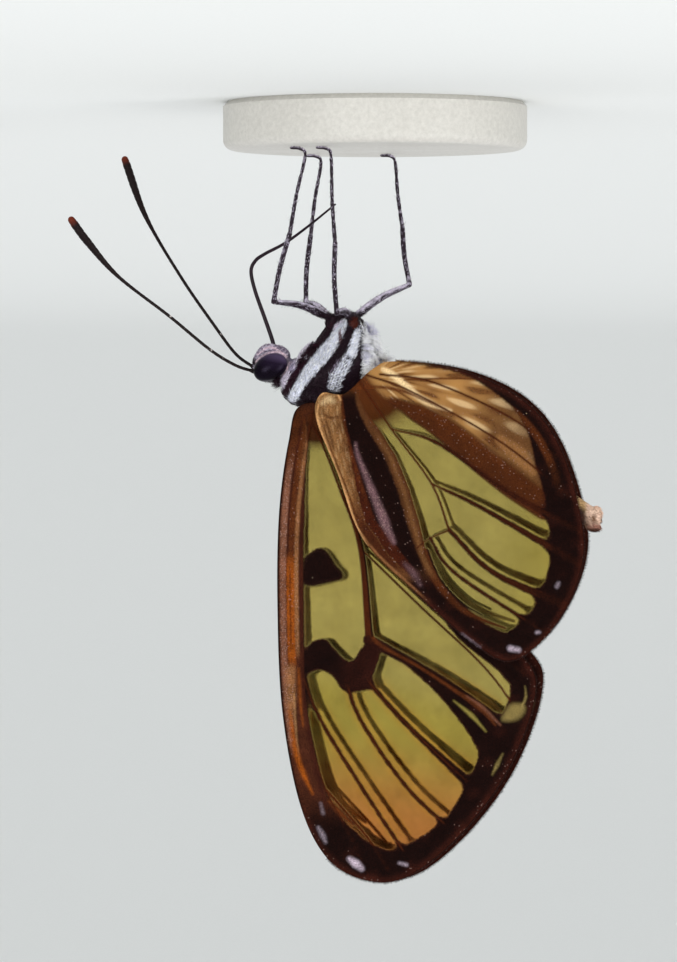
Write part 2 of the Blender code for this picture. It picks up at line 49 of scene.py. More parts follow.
# The photograph's frame and the scale at which it shows the butterfly
PHOTO_WIDTH, PHOTO_HEIGHT = 677, 962
PIXELS_PER_MM = 16.0
ORIGIN_PIXEL = (333.5, 102.0)
CAMERA_DISTANCE = 400.0
SENSOR_HEIGHT = 36.0

SIDES = (("right", -1), ("left", 1))

# Wing plates, swung about their roots in degrees: the left wings a little further than their
# solids, so that their veins show beside the right ones
FOREWING_ROOT = (0.2, 19.0)
HINDWING_ROOT = (-1.8, 17.25)
FOREWING_OFFSET = 0.46
HINDWING_OFFSET = 1.53
FOREWING_SWING = 1.7
HINDWING_SWING = 2.3
ROOT_SPREAD = 0.92
ROOT_SPREAD_REACH = 2.2
TIP_FLARE = 0.5
WING_REACH = 30.0
FOREWING_OUTLINE = [
    (1.8, -0.05), (2.6, 2.2), (3.2, 6.7), (3.3, 12.5), (3.0, 19.0), (1.9, 24.8),
    (0.2, 28.2), (-2.3, 29.6), (-4.9, 29.3), (-8.2, 26.6), (-11.0, 22.8), (-12.7, 18.4),
    (-12.2, 15.9), (-8.4, 13.0), (-5.6, 8.3), (-3.4, 2.4), (-1.3, 0.25),
]
FOREWING_VEINS = {
    "subcosta": [(1.9, 2.5), (2.45, 6.5), (2.65, 13.4), (2.5, 18.6)],
    "radius": [(1.1, 0.2), (1.7, 4.6), (1.8, 12.9), (1.7, 18.4), (0.6, 23.1), (-1.2, 26.8),
               (-2.2, 29.0)],
    "radial_branch": [(0.2, 24.0), (-2.3, 26.9), (-3.7, 29.0)],
    "cell_rear": [(1.25, 1.0), (0.5, 2.4), (-0.6, 5.2), (-1.9, 8.9), (-2.4, 14.6)],
    "cell_end": [(1.8, 15.9), (0.3, 15.8), (-1.1, 17.0), (-2.4, 14.6)],
    "media_1": [(1.75, 16.8), (0.6, 19.6), (-1.9, 23.7), (-5.1, 28.6)],
    "media_2": [(-0.9, 16.9), (-1.9, 19.6), (-4.7, 23.7), (-7.8, 26.7)],
    "media_3": [(-1.7, 16.3), (-3.4, 18.4), (-5.7, 20.8), (-9.6, 24.4)],
    "cubitus_1": [(-2.4, 14.6), (-5.7, 16.4), (-9.3, 18.8), (-11.6, 21.2)],
    "cubitus_2": [(-1.9, 8.9), (-5.6, 12.5), (-9.7, 16.4), (-12.1, 19.7)],
    "anal": [(-0.3, 0.2), (-3.1, 4.2), (-5.1, 8.9), (-7.8, 13.1), (-12.3, 16.9)],
}
HINDWING_OUTLINE = [
    (1.1, 1.0), (2.55, 1.0), (2.9, 2.5), (1.6, 5.8), (0.0, 10.0), (-3.0, 13.1), (-6.8, 16.4),
    (-9.2, 17.6), (-11.6, 15.9), (-13.4, 12.6), (-13.7, 9.4), (-12.4, 4.6), (-10.2, 1.6),
    (-6.5, -0.3), (-2.1, -1.0), (-0.6, -0.5),
]
HINDWING_VEINS = {
    "subcosta": [(1.0, 1.3), (0.6, 5.2), (-0.6, 9.2), (-3.2, 12.4), (-6.8, 15.5), (-9.3, 17.2)],
    "radial": [(0.6, 0.6), (-1.1, 3.6), (-2.4, 7.9), (-4.0, 11.5), (-7.1, 14.5), (-10.6, 16.6)],
    "cell_rear": [(0.2, 0.2), (-1.8, 3.2), (-4.3, 6.6), (-5.4, 9.5)],
    "cell_end": [(-5.4, 9.5), (-4.2, 10.0), (-3.4, 10.6)],
    "media_3": [(-4.2, 10.0), (-5.8, 12.2), (-11.4, 15.9)],
    "cubitus_1": [(-5.4, 9.5), (-8.1, 12.1), (-12.7, 14.2)],
    "cubitus_2": [(-4.3, 6.6), (-7.4, 8.1), (-13.5, 11.6)],
    "anal_1": [(-1.8, 3.2), (-4.7, 4.1), (-9.2, 7.2), (-13.6, 9.6)],
    "anal_2": [(-0.1, -0.2), (-3.1, 0.9), (-8.6, 4.0), (-13.1, 7.6)],
    "anal_3": [(-1.1, -0.2), (-4.4, 0.3), (-9.4, 2.6), (-12.1, 5.0)],
}

# How finely a wing is meshed: the finest pitch, the coarse pitch as a multiple of it,
# and the change of its look from spot to spot above which the fine pitch is kept
FINE_PITCH = 0.075
COARSE_EVERY = 3
DETAIL_CHANGE = 0.05
RIM_PITCH = 0.11
MEMBRANE_HALF = 0.03
RIM_READ_STEP = 0.45
CURVE_STEPS = 24
MEMBRANE_COVER = 0.03
MEMBRANE_TINT = 0.275
VEIN_HEIGHT = 0.07
VEIN_SPREAD = 0.1
MEMBRANE_BELLY = 0.1
BELLY_REACH = 0.9


# Colours


def srgb(red, green, blue):
    """Return a display colour of 0 to 255 as the linear values that shaders take."""
    share = np.array((red, green, blue)) / 255.0
    return np.where(share <= 0.04045, share / 12.92, ((share + 0.055) / 1.055) ** 2.4)


OLIVE = np.array((0.535, 0.435, 0.135))
GOLD = np.array((0.5, 0.395, 0.09))
AMBER = np.array((0.64, 0.28, 0.08))
BLACK = srgb(20, 5, 3)
MAROON = srgb(52, 20, 12)
VEIN_BROWN = srgb(66, 27, 8)
COSTA_BROWN = srgb(66, 32, 18)
COSTA_PINK = srgb(122, 78, 58)
COSTA_TAN = srgb(138, 92, 56)
ORANGE = srgb(146, 72, 16)
MAUVE = srgb(114, 84, 88)
PALE_LINE = srgb(196, 146, 96)
TAN = srgb(142, 98, 56)
LOBE_TAN = srgb(132, 92, 54)
TAUPE = srgb(84, 50, 26)
RUST = srgb(86, 42, 16)
DEEP_BROWN = srgb(60, 22, 8)
ANAL_TAN = srgb(194, 146, 86)
ANAL_DARK = srgb(72, 34, 12)
WHITE_SPOT = srgb(196, 178, 192)
CREAM = srgb(240, 208, 156)
FLECK_TAN = srgb(172, 150, 88)
AMBER_STRIP = np.array((0.62, 0.31, 0.05))


# Curves and distances, on arrays of points


def spline_points(points, closed):
    """Return a fine Catmull-Rom curve through the points."""
    knots = np.array(points, float)
    count = len(knots)
    if closed:
        knots = np.concatenate([knots[-1:], knots, knots[:2]])
    else:
        knots = np.concatenate([[2 * knots[0] - knots[1]], knots, [2 * knots[-1] - knots[-2]]])
        count -= 1
    turn = (np.arange(CURVE_STEPS) / CURVE_STEPS)[None, :, None]
    before, start, end, after = (knots[shift:shift + count, None] for shift in range(4))
    fine = 0.5 * (2 * start + (end - before) * turn
                  + (2 * before - 5 * start + 4 * end - after) * turn ** 2
                  + (3 * start - before - 3 * end + after) * turn ** 3)
    return np.concatenate([fine.reshape(-1, knots.shape[1]), knots[count + 1:count + 2]])


def smooth_line(points, step, closed=False):
    """Return evenly spaced points of the curve, and the shares of it at the given points."""
    fine = spline_points(points, closed)
    lengths = np.concatenate([[0.0], np.cumsum(np.linalg.norm(np.diff(fine, axis=0), axis=1))])
    parts = max(2, round(lengths[-1] / step))
    targets = lengths[-1] * np.arange(parts + 1) / parts
    line = np.stack([np.interp(targets, lengths, axis) for axis in fine.T], 1)
    return line, lengths[::CURVE_STEPS] / lengths[-1]


def line_distance(spots, line):
    """Return each spot's distance to a polyline and the share of the line nearest to it."""
    lengths = np.concatenate([[0.0], np.cumsum(np.linalg.norm(np.diff(line, axis=0), axis=1))])
    nearest = np.full(len(spots), np.inf)
    share = np.zeros(len(spots))
    for index in range(len(line) - 1):
        along = line[index + 1] - line[index]
        away = spots - line[index]
        part = np.clip(away @ along / max(along @ along, 1e-12), 0.0, 1.0)
        away = away - part[:, None] * along
        gap = np.einsum("ij,ij->i", away, away)
        closer = gap < nearest
        nearest[closer] = gap[closer]
        share[closer] = lengths[index] + part[closer] * (lengths[index + 1] - lengths[index])
    return np.sqrt(nearest), share / lengths[-1]


def inside(spots, outline):
    """Tell which spots lie inside a closed outline."""
    odd = np.zeros(len(spots), bool)
    x, z = spots.T
    for start, end in zip(outline, np.roll(outline, -1, axis=0)):
        if start[1] == end[1]:
            continue
        spans = (start[1] > z) != (end[1] > z)
        odd ^= spans & (x < start[0] + (end[0] - start[0]) * (z - start[1]) / (end[1] - start[1]))
    return odd


def stroke(spots, points, halves, step=0.3):
    """Return how far each spot lies outside a line of changing width, and its share along it."""
    line, shares = smooth_line(points, step)
    distance, share = line_distance(spots, line)
    return distance - np.interp(share, shares, halves), share


def patch(spots, points):
    """Return how far each spot lies outside a smooth closed patch, negative inside it."""
    line, _ = smooth_line(points, 0.15, closed=True)
    distance, _ = line_distance(spots, line)
    return np.where(inside(spots, line[:-1]), -distance, distance)


def ease(low, high, values):
    """Return 0 below low, 1 above high and a smooth step between them."""
    share = np.clip((values - low) / (high - low), 0.0, 1.0)
    return share * share * (3 - 2 * share)


def filled(outside, soft=0.05):
    """Return 1 inside a shape and 0 outside it, with a soft edge."""
    return 1.0 - ease(-soft, soft, outside)


def merged(first, second, blend):
    """Return the union of two shapes, with the corners between them rounded."""
    share = np.clip(0.5 + 0.5 * (second - first) / blend, 0.0, 1.0)
    return second * (1 - share) + first * share - blend * share * (1 - share)


def ripple(spots, pitch, phase=0.0):
    """Return an uneven wave between -1 and 1 that stands in for the ragged rows of scales."""
    x, z = spots.T / pitch
    return (np.sin(1.7 * x + 2.3 * z + phase) + np.sin(2.9 * x - 1.3 * z + 2.1 * phase)
            + np.sin(-0.7 * x + 3.1 * z + 4.2 + phase)) / 3.0


class Look:
    """Colour, cover and height of every spot of a wing, laid on in layers."""

    def __init__(self, spots, colour, cover):
        self.spots = spots
        self.colour = np.tile(colour, (len(spots), 1))
        self.cover = np.full(len(spots), cover)
        self.height = np.zeros(len(spots))
        self.frost = np.zeros(len(spots))

    def lay(self, mask, colour, cover, frost=0.0):
        """Lay a layer on the mask: bare membrane takes its colour before it is covered."""
        bare = (1 - self.cover) * (cover > 0.5)
        share = (mask + (np.minimum(1.0, 2.5 * mask) - mask) * bare)[:, None]
        self.colour = self.colour * (1 - share) + colour * share
        self.cover = self.cover * (1 - mask) + cover * mask
        self.frost = self.frost * (1 - mask) + frost * mask

    def line(self, points, halves, colour, cover=1.0, soft=0.05, height=0.0, frost=0.0, where=1.0):
        """Lay a soft line of changing half width, and raise it by its height."""
        outside, share = stroke(self.spots, points, halves)
        mask = filled(outside, soft)
        self.lay(mask * where, colour, cover, frost)
        self.height += height * mask
        return outside


def rim_reading(spots, outline):
    """Return each spot's depth inside the rim and the number of the outline's nearest point."""
    line, shares = smooth_line(outline, RIM_READ_STEP, closed=True)
    depth, share = line_distance(spots, line)
    depth = np.where(inside(spots, line[:-1]), depth, -depth)
    return depth, np.interp(share, shares, np.arange(len(outline) + 1))


def ragged_edge(spots):
    """Return the unevenness of the scales' edges."""
    return 0.03 * ripple(spots, 0.11) + 0.02 * ripple(spots, 0.37, 2.0)


def vein(name, veins, halves):
    """Return a vein's points and its half width at each of them."""
    points = veins[name]
    return points, halves[name] if len(halves[name]) > 1 else halves[name] * len(points)


def with_veins(dark, spots, names, veins, halves, blend):
    """Return the dark border run together with the veins that widen into it."""
    for name in names:
        line, _ = stroke(spots, *vein(name, veins, halves))
        dark = merged(dark, line, blend)
    return dark


def paint_veins(look, names, veins, halves, clear):
    """Lay thin brown veins with a faint edge, where the scales leave them clear."""
    for name in names:
        points, widths = vein(name, veins, halves)
        look.line(points, [half + 0.03 for half in widths], MAROON, 0.6, 0.05, where=clear * 0.3)
        look.line(points, widths, VEIN_BROWN, 1.0, 0.04, where=clear)


def paint_vein_relief(look, veins):
    """Raise a thin round ridge along every vein, and let the membrane belly out between them."""
    nearest = np.full(len(look.spots), np.inf)
    for points in veins.values():
        distance, _ = stroke(look.spots, points, [0.0] * len(points), 0.5)
        nearest = np.minimum(nearest, distance)
    look.height += VEIN_HEIGHT * np.exp(-(nearest / VEIN_SPREAD) ** 2)
    look.belly = MEMBRANE_BELLY * (1 - np.exp(-(nearest / BELLY_REACH) ** 2))


# Forewing

FOREWING_BORDER = [0.6, 1.2, 1.55, 1.6, 1.5, 1.75, 2.4, 2.2, 1.75, 1.25, 1.9, 1.45,
                   1.65, 1.2, 0.8, 0.5, 0.5, 0.6]
FOREWING_VEIN_HALVES = {
    "radius": (0.05,), "radial_branch": (0.07,),
    "cell_rear": (0.05, 0.05, 0.06, 0.16, 0.2), "media_1": (0.04,), "media_2": (0.045,),
    "media_3": (0.08, 0.07, 0.09, 0.3), "cubitus_1": (0.28, 0.2, 0.22, 0.5),
    "cubitus_2": (0.05,), "anal": (0.05,),
}
FOREWING_DARK_VEINS = ("media_1", "media_2", "media_3", "cubitus_1")
FOREWING_THIN_VEINS = ("radius", "radial_branch", "cell_rear", "cubitus_2", "anal")
CELL_SPOT = [(1.75, 10.16), (1.49, 9.4), (0.66, 8.92), (0.13, 9.25), (-0.25, 9.86),
             (-0.74, 10.46), (-0.6, 10.8), (0.43, 11.05), (1.19, 11.2), (1.75, 11.0)]
CELL_BAR = [(1.9, 16.0), (1.2, 14.9), (0.4, 14.6), (-0.2, 15.2), (-0.8, 15.8), (-1.2, 16.0),
            (-1.6, 15.8), (-2.0, 15.2), (-2.7, 14.8), (-3.0, 15.6), (-2.6, 16.8), (-2.4, 17.6),
            (-0.9, 17.7), (-0.2, 16.8), (0.7, 16.4), (1.8, 16.7)]
DARK_FORK = [(-5.0, 16.15), (-7.1, 18.35), (-8.6, 20.3), (-9.5, 22.0), (-9.7, 23.3), (-10.8, 23.0),
             (-11.6, 20.6), (-10.3, 19.4), (-8.4, 18.2), (-6.4, 16.8)]


def paint_forewing(spots):
    x, z = spots.T
    depth, near = rim_reading(spots, FOREWING_OUTLINE)
    look = Look(spots, OLIVE, MEMBRANE_COVER)
    outer = ease(15.5, 18.5, z + 0.25 * x)
    look.lay(outer, GOLD, MEMBRANE_COVER)
    outer = ease(19.5, 26.5, z + 0.1 * x)
    look.lay(outer, AMBER, MEMBRANE_COVER)
    smoky = ease(2.9, 1.3, z) * ease(-1.0, 0.5, x)
    look.lay(smoky * 0.9, ANAL_DARK, 0.92)
    ragged = ragged_edge(spots)

    # Dark scales: the border, the thick veins and the two bars, run together
    width = np.interp(near, np.arange(len(FOREWING_BORDER)), FOREWING_BORDER)
    dark = depth - width
    leading = ease(7.2, 6.2, near) + ease(16.2, 16.8, near)
    dark = with_veins(dark, spots, FOREWING_DARK_VEINS, FOREWING_VEINS, FOREWING_VEIN_HALVES, 0.55)
    strip = ease(15.5, 17.5, z) * filled(dark - 0.25, 0.25) * ease(0.5, 0.9, depth - width)
    look.lay(strip * 0.8, AMBER_STRIP, MEMBRANE_COVER)
    bar = patch(spots, CELL_BAR)
    dark = merged(dark, bar, 0.3)
    dark = merged(dark, patch(spots, DARK_FORK), 0.4)
    dark_mask = filled(dark + ragged, 0.07)
    look.lay(filled(dark + ragged - 0.07, 0.1) * 0.75, MAROON, 0.9)
    look.lay(dark_mask, BLACK, 1.0)
    warm = ease(0.3, 1.0, ripple(spots, 0.9, 1.0)) * 0.35 + ease(0.5, 0.1, depth) * 0.8
    look.lay(dark_mask * np.clip(warm, 0, 1), MAROON, 1.0, 0.04)
    bar_end = ease(-0.3, -1.3, x) * ease(13.9, 14.7, z) * ease(18.2, 17.4, z) * ease(-4.2, -3.2, x)
    look.lay(dark_mask * bar_end * 0.4, MAROON, 1.0)
    for name in FOREWING_DARK_VEINS:
        look.line(FOREWING_VEINS[name], [0.055] * len(FOREWING_VEINS[name]), VEIN_BROWN, 1.0, 0.04,
                  where=ease(-0.3, -0.12, dark) * 0.75)
    spot = patch(spots, CELL_SPOT) + ragged
    look.lay(filled(spot - 0.02, 0.18) * 0.7, MAROON, 0.7)
    look.lay(filled(spot + 0.05, 0.16), BLACK, 0.98)

    # Leading band in stripes of scales that run along it
    band = leading * ease(26.5, 23.5, z) * filled(depth - width, 0.06)
    look.lay(band, COSTA_BROWN, 1.0)
    fade = ease(-0.6, 0.8, z)
    stripes = [(0.0, 0.13, BLACK, -1.0, 26.0, 0.0), (0.36, 0.19, COSTA_PINK, 2.0, 22.0, 0.28),
               (0.5, 0.4, ANAL_DARK, -1.0, 4.2, 0.0), (0.95, 0.05, TAN, -0.5, 5.0, 0.05),
               (0.64, 0.05, MAROON, 0.0, 22.0, 0.0), (0.86, 0.17, RUST, -0.5, 10.5, 0.03),
               (0.83, 0.25, ORANGE, 9.0, 16.6, 0.04), (0.8, 0.03, MAROON, 9.5, 15.8, 0.0),
               (1.19, 0.12, COSTA_TAN, -0.5, 16.0, 0.16), (1.52, 0.14, MAROON, -0.5, 26.0, 0.0)]
    for centre, half, colour, start, end, frost in stripes:
        along = ease(start, start + 1.2, z) * ease(end, end - 1.2, z)
        stripe = filled(np.abs(depth - centre) - half + 0.8 * ragged, 0.07)
        look.lay(band * stripe * along * fade * 0.88, colour, 1.0, frost)
    look.line([(2.46, 16.4), (2.46, 18.2), (2.42, 19.8)], (0.25, 0.3, 0.08), COSTA_TAN, soft=0.2,
              frost=0.2, where=0.85)
    look.line([(2.26, 18.0), (2.13, 20.5), (1.94, 22.2)], (0.04, 0.05, 0.03), PALE_LINE, soft=0.08,
              where=0.5)
    look.line([(2.5, 19.0), (2.32, 20.7), (2.05, 21.9), (1.65, 23.0), (1.1, 24.2)],
              (0.03, 0.13, 0.15, 0.13, 0.02), ORANGE, soft=0.15)
    look.line([(1.97, 16.4), (1.93, 17.4), (1.86, 18.6), (1.7, 20.0)], (0.04, 0.09, 0.08, 0.02),
              ORANGE, soft=0.1, where=0.6)
    look.line([(0.1, 24.6), (-0.52, 25.3), (-1.43, 26.1)], (0.06, 0.16, 0.05), RUST, soft=0.12)

    # The thick vein's brown middle, and the clear slit and pale streak where it forks
    look.line([(-1.9, 9.3), (-2.4, 12.4), (-2.6, 14.3), (-3.4, 15.1), (-5.4, 16.2), (-7.7, 17.7),
               (-9.4, 18.9), (-10.3, 19.9)], (0.03, 0.09, 0.1, 0.1, 0.08, 0.1, 0.16, 0.06),
              RUST, 1.0, 0.09, where=0.85)
    look.line([(-7.7, 18.4), (-8.8, 19.3), (-9.7, 20.3)], (0.01, 0.1, 0.01), GOLD * 0.8, 0.6, 0.12,
              where=0.8)
    look.line([(-8.5, 18.1), (-9.5, 18.8), (-10.6, 19.9)], (0.02, 0.09, 0.05), COSTA_PINK, 1.0, 0.1,
              frost=0.1, where=0.8)

    # Thin veins, lost in the dark scales
    clear = 1 - 0.85 * dark_mask
    paint_veins(look, FOREWING_THIN_VEINS, FOREWING_VEINS, FOREWING_VEIN_HALVES, clear)
    look.line([(-0.75, 5.2), (-2.05, 8.9), (-2.62, 14.4)], (0.02, 0.05, 0.06), BLACK, where=clear)
    paint_vein_relief(look, FOREWING_VEINS)

    # White spots and pale flecks
    grainy = 0.8 + 0.25 * ripple(spots, 0.1, 0.7)
    look.line([(-1.2, 28.25), (-1.6, 28.55), (-1.95, 28.85)], (0.12, 0.24, 0.14), WHITE_SPOT,
              soft=0.16, where=grainy)
    look.line([(-4.3, 28.5), (-4.75, 28.62)], (0.07, 0.09), WHITE_SPOT, soft=0.12,
              where=grainy * 0.6)
    look.line([(0.75, 26.3), (0.45, 26.8), (0.3, 27.2)], (0.06, 0.14, 0.06), WHITE_SPOT, 1.0, 0.16,
              where=grainy * 0.5)
    look.line([(0.6, 24.8), (0.45, 25.4)], (0.06, 0.08), WHITE_SPOT, 1.0, 0.14, where=grainy * 0.3)
    look.line([(-12.15, 17.5), (-12.2, 18.2), (-11.95, 18.7)], (0.01, 0.05, 0.04), FLECK_TAN, 0.8,
              0.1, where=0.6)
    look.lay(filled(patch(spots, [(-10.75, 19.6), (-11.0, 18.95), (-11.4, 18.6), (-12.05, 18.7),
                                  (-12.05, 19.15), (-11.6, 19.55)]), 0.22) * 0.62, FLECK_TAN, 0.5)
    look.line([(-10.1, 23.0), (-10.4, 22.4), (-10.75, 21.7)], (0.01, 0.1, 0.01), FLECK_TAN * 0.7,
              0.9, 0.12, where=0.75)
    return look


# Hindwing

HINDWING_BORDER = [0.0, 0.0, 0.0, 0.0, 0.6, 1.5, 1.3, 1.8, 1.6, 1.9, 2.0, 1.8, 0.8, 0.12,
                   0.08, 0.05, 0.0]
HINDWING_VEIN_HALVES = {
    "cell_rear": (0.05, 0.05, 0.05, 0.06), "cell_end": (0.05, 0.035, 0.035),
    "media_3": (0.035, 0.04, 0.06), "cubitus_1": (0.07, 0.1, 0.26),
    "cubitus_2": (0.05, 0.065, 0.2), "anal_1": (0.045, 0.055, 0.08, 0.16),
    "anal_2": (0.05,), "anal_3": (0.05,),
}
HINDWING_DARK_VEINS = ("media_3", "cubitus_1", "cubitus_2", "anal_1")
# Edges of the bands behind the leading margin: height, then where each band ends
BAND_HEIGHTS = (1.3, 2.3, 3.26, 4.86, 6.9, 8.96, 10.0, 11.0, 12.3, 13.5)
BAND_ENDS = {
    "tan": (1.34, 1.3, 1.12, 0.81, 0.4, -0.12, -0.9, -1.55, -2.9, -4.2),
    "rust": (1.25, 1.14, 0.95, 0.52, -0.12, -0.85, -1.75, -2.5, -3.5, -4.6),
    "black": (0.45, 0.16, -0.35, -1.34, -2.16, -2.75, -3.1, -3.45, -4.0, -4.9),
    "taupe": (0.25, -0.3, -1.05, -2.06, -2.88, -3.5, -3.75, -3.95, -4.6, -5.5),
}


def paint_bands(look, ragged):
    """Lay the bands that run down behind the hindwing's leading margin."""
    x, z = look.spots.T
    end = {name: np.interp(z, BAND_HEIGHTS, places) for name, places in BAND_ENDS.items()}
    low = ease(12.9, 11.6, z)
    top = ease(0.6, 1.3, z)
    shift = ragged * 1.2
    look.lay(filled(end["taupe"] - x + shift, 0.08) * low * top, TAUPE, 0.86, 0.02)
    edge = filled(np.abs(x - end["taupe"] - 0.03 + shift) - 0.05, 0.05)
    look.lay(edge * low * ease(1.5, 2.5, z) * 0.8, ANAL_DARK, 1.0)
    middle = filled(np.abs(x - 0.5 * (end["taupe"] + end["black"]) + shift) - 0.12, 0.1)
    look.lay(middle * low * ease(3.0, 4.5, z) * 0.3, TAN, 0.9, 0.05)
    look.lay(filled(end["black"] - x + shift, 0.1) * low * top, BLACK, 1.0, 0.01)
    look.lay(filled(end["rust"] - x + shift, 0.08) * low * top, DEEP_BROWN, 1.0, 0.02)
    edge = filled(np.abs(x - end["rust"] - 0.16 + shift) - 0.1, 0.1)
    look.lay(edge * low * ease(9.0, 6.0, z) * 0.7, RUST, 1.0, 0.02)
    lobe = LOBE_TAN * ease(7.5, 3.0, z)[:, None] + TAN * ease(3.0, 7.5, z)[:, None]
    tan = filled(end["tan"] - x + shift, 0.08) * low
    look.lay(tan, lobe, 0.96, 0.02)
    across = x - end["tan"]
    look.lay(tan * ease(0.75, 0.0, across) * ease(1.5, 3.0, z) * 0.75, TAUPE, 0.98, 0.02)
    look.lay(tan * ease(6.8, 9.4, z) * 0.92, DEEP_BROWN, 0.98, 0.02)
    grain = ripple(np.stack([across, 0.12 * z], 1), 0.09)
    look.lay(tan * ease(0.1, 0.7, grain) * 0.25, TAUPE, 0.96)
    look.lay(tan * ease(0.1, 0.7, -grain) * ease(9.0, 6.0, z) * 0.12, CREAM, 0.96)
    # Mauve streak between rust and black, and the smaller one that follows it
    look.line([(0.42, 4.1), (0.28, 4.86), (-0.54, 6.9), (-1.36, 8.96), (-1.95, 10.25)],
              (0.02, 0.08, 0.18, 0.26, 0.1), MAUVE, 1.0, 0.2, frost=0.3)
    look.line([(-2.65, 11.6), (-3.15, 12.15), (-3.6, 12.9)], (0.08, 0.18, 0.08), MAUVE * 0.6, 1.0,
              0.2, frost=0.15)


def paint_hindwing(spots):
    x, z = spots.T
    depth, near = rim_reading(spots, HINDWING_OUTLINE)
    look = Look(spots, OLIVE * 0.96, MEMBRANE_COVER)
    ragged = ragged_edge(spots)
    outer = ease(-7.0, -12.0, x) * ease(6.0, 11.0, z)
    look.lay(outer * 0.7, GOLD, MEMBRANE_COVER)
    smoky = ease(4.2, 0.8, np.hypot(x + 0.2, z))
    look.lay(smoky * 0.9, RUST, 0.8)

    # Rear part, folded over the abdomen: warm tan, painted highlights on its folds, a dark mottled
    # band
    tan = patch(spots, [(-0.2, -0.9), (-3.0, -1.3), (-7.2, -0.6), (-10.6, 1.3), (-12.2, 3.4),
                        (-12.4, 6.9), (-10.9, 7.2), (-8.2, 5.1), (-5.4, 3.0), (-3.0, 1.6),
                        (-1.3, 1.0)])
    tan = filled(tan, 0.3)
    mottle = 0.5 + 0.5 * ripple(spots, 1.1, 0.6)
    look.lay(tan, ANAL_TAN, 0.5, 0.02)
    look.lay(tan * mottle * 0.45, TAN, 0.6, 0.02)
    look.lay(tan * ease(-6.2, -10.0, x + 0.5 * ripple(spots, 0.9)) * 0.75, TAUPE, 0.85, 0.03)
    # Pleats that fan out from the root, rusty in their folds, with painted highlights on their
    # crests
    turn = np.arctan2(z + 0.1, -0.6 - x)
    pleat = ripple(np.stack([turn, 0.03 * np.hypot(x, z)], 1), 0.055)
    reach = tan * ease(0.8, 2.0, -x) * ease(-11.5, -7.0, x)
    look.lay(reach * ease(0.1, 0.8, pleat) * 0.6, RUST, 0.75, 0.02)
    look.lay(reach * ease(0.1, 0.8, -pleat) * 0.45, CREAM, 0.6, 0.02)
    look.line([(-1.82, 1.45), (-3.34, 2.15), (-4.86, 3.0), (-6.37, 4.2), (-7.89, 5.45),
               (-9.56, 6.75), (-11.38, 8.0)], (0.2, 0.55, 0.72, 0.8, 0.85, 0.85, 0.8),
              ANAL_DARK, 0.88, 0.2, frost=0.04)
    look.lay(filled(stroke(spots, [(-3.4, 1.9), (-6.4, 3.6), (-8.6, 5.3)], (0.1, 0.3, 0.2))[0],
                    0.25) * 0.5, RUST, 0.85, 0.06)
    look.line([(-8.6, 3.9), (-9.8, 4.9), (-10.6, 5.9)], (0.3, 0.5, 0.2), TAN, 0.8, 0.2, frost=0.1)
    # Painted highlight: a pale cream streak along a fold
    look.line([(-1.3, -0.5), (-1.85, -0.2), (-2.75, 0.55), (-3.95, 1.5), (-5.5, 2.05)],
              (0.1, 0.17, 0.15, 0.12, 0.03), CREAM, 0.95, 0.16)
    look.line([(0.3, 0.65), (-1.1, 0.6), (-2.75, 0.92), (-4.1, 1.53), (-5.2, 2.0)],
              (0.05, 0.07, 0.08, 0.06, 0.03), RUST, 1.0, 0.1)
    look.line([(-2.6, 0.15), (-5.0, 0.05), (-7.4, 0.1)], (0.03, 0.05, 0.04), RUST, 1.0, 0.06)

    # Border with the veins that widen into it
    width = np.interp(near, np.arange(len(HINDWING_BORDER)), HINDWING_BORDER)
    dark = depth - width
    dark = with_veins(dark, spots, HINDWING_DARK_VEINS, HINDWING_VEINS, HINDWING_VEIN_HALVES, 0.7)
    reach = ease(3.4, 5.0, near) * ease(14.2, 12.8, near)
    look.lay(filled(dark + ragged - 0.06, 0.1) * 0.7 * reach, MAROON, 0.9)
    dark_mask = filled(dark + ragged, 0.07) * reach
    look.lay(dark_mask, BLACK, 1.0)
    warm = ease(0.3, 1.0, ripple(spots, 0.9, 1.0)) * 0.3 + ease(0.45, 0.1, depth) * 0.8
    look.lay(dark_mask * np.clip(warm, 0, 1), MAROON, 1.0, 0.03)
    rear = ease(10.4, 11.2, near) * dark_mask
    look.lay(rear * filled(np.abs(depth - 0.9) - 0.22, 0.12) * 0.8, RUST, 1.0, 0.05)

    # Inner brown line of the border where the leading bands run out into it
    look.line([(-3.9, 10.9), (-4.3, 11.95), (-4.9, 13.1), (-6.1, 14.35), (-7.4, 15.05),
               (-8.9, 15.6)], (0.26, 0.26, 0.22, 0.16, 0.1, 0.03), ANAL_DARK, 1.0, 0.12, frost=0.03)
    look.line([(-4.05, 10.7), (-4.5, 11.9), (-5.15, 12.95), (-6.3, 14.1), (-7.5, 14.8)],
              (0.05, 0.06, 0.06, 0.06, 0.04), BLACK, 1.0, 0.05)
    paint_bands(look, ragged)
    edge = filled(np.abs(depth - 0.13) - 0.06, 0.07) * ease(9.3, 10.3, z) * ease(14.2, 12.8, z)
    look.lay(edge * ease(6.4, 5.6, near) * 0.85, COSTA_TAN, 1.0)

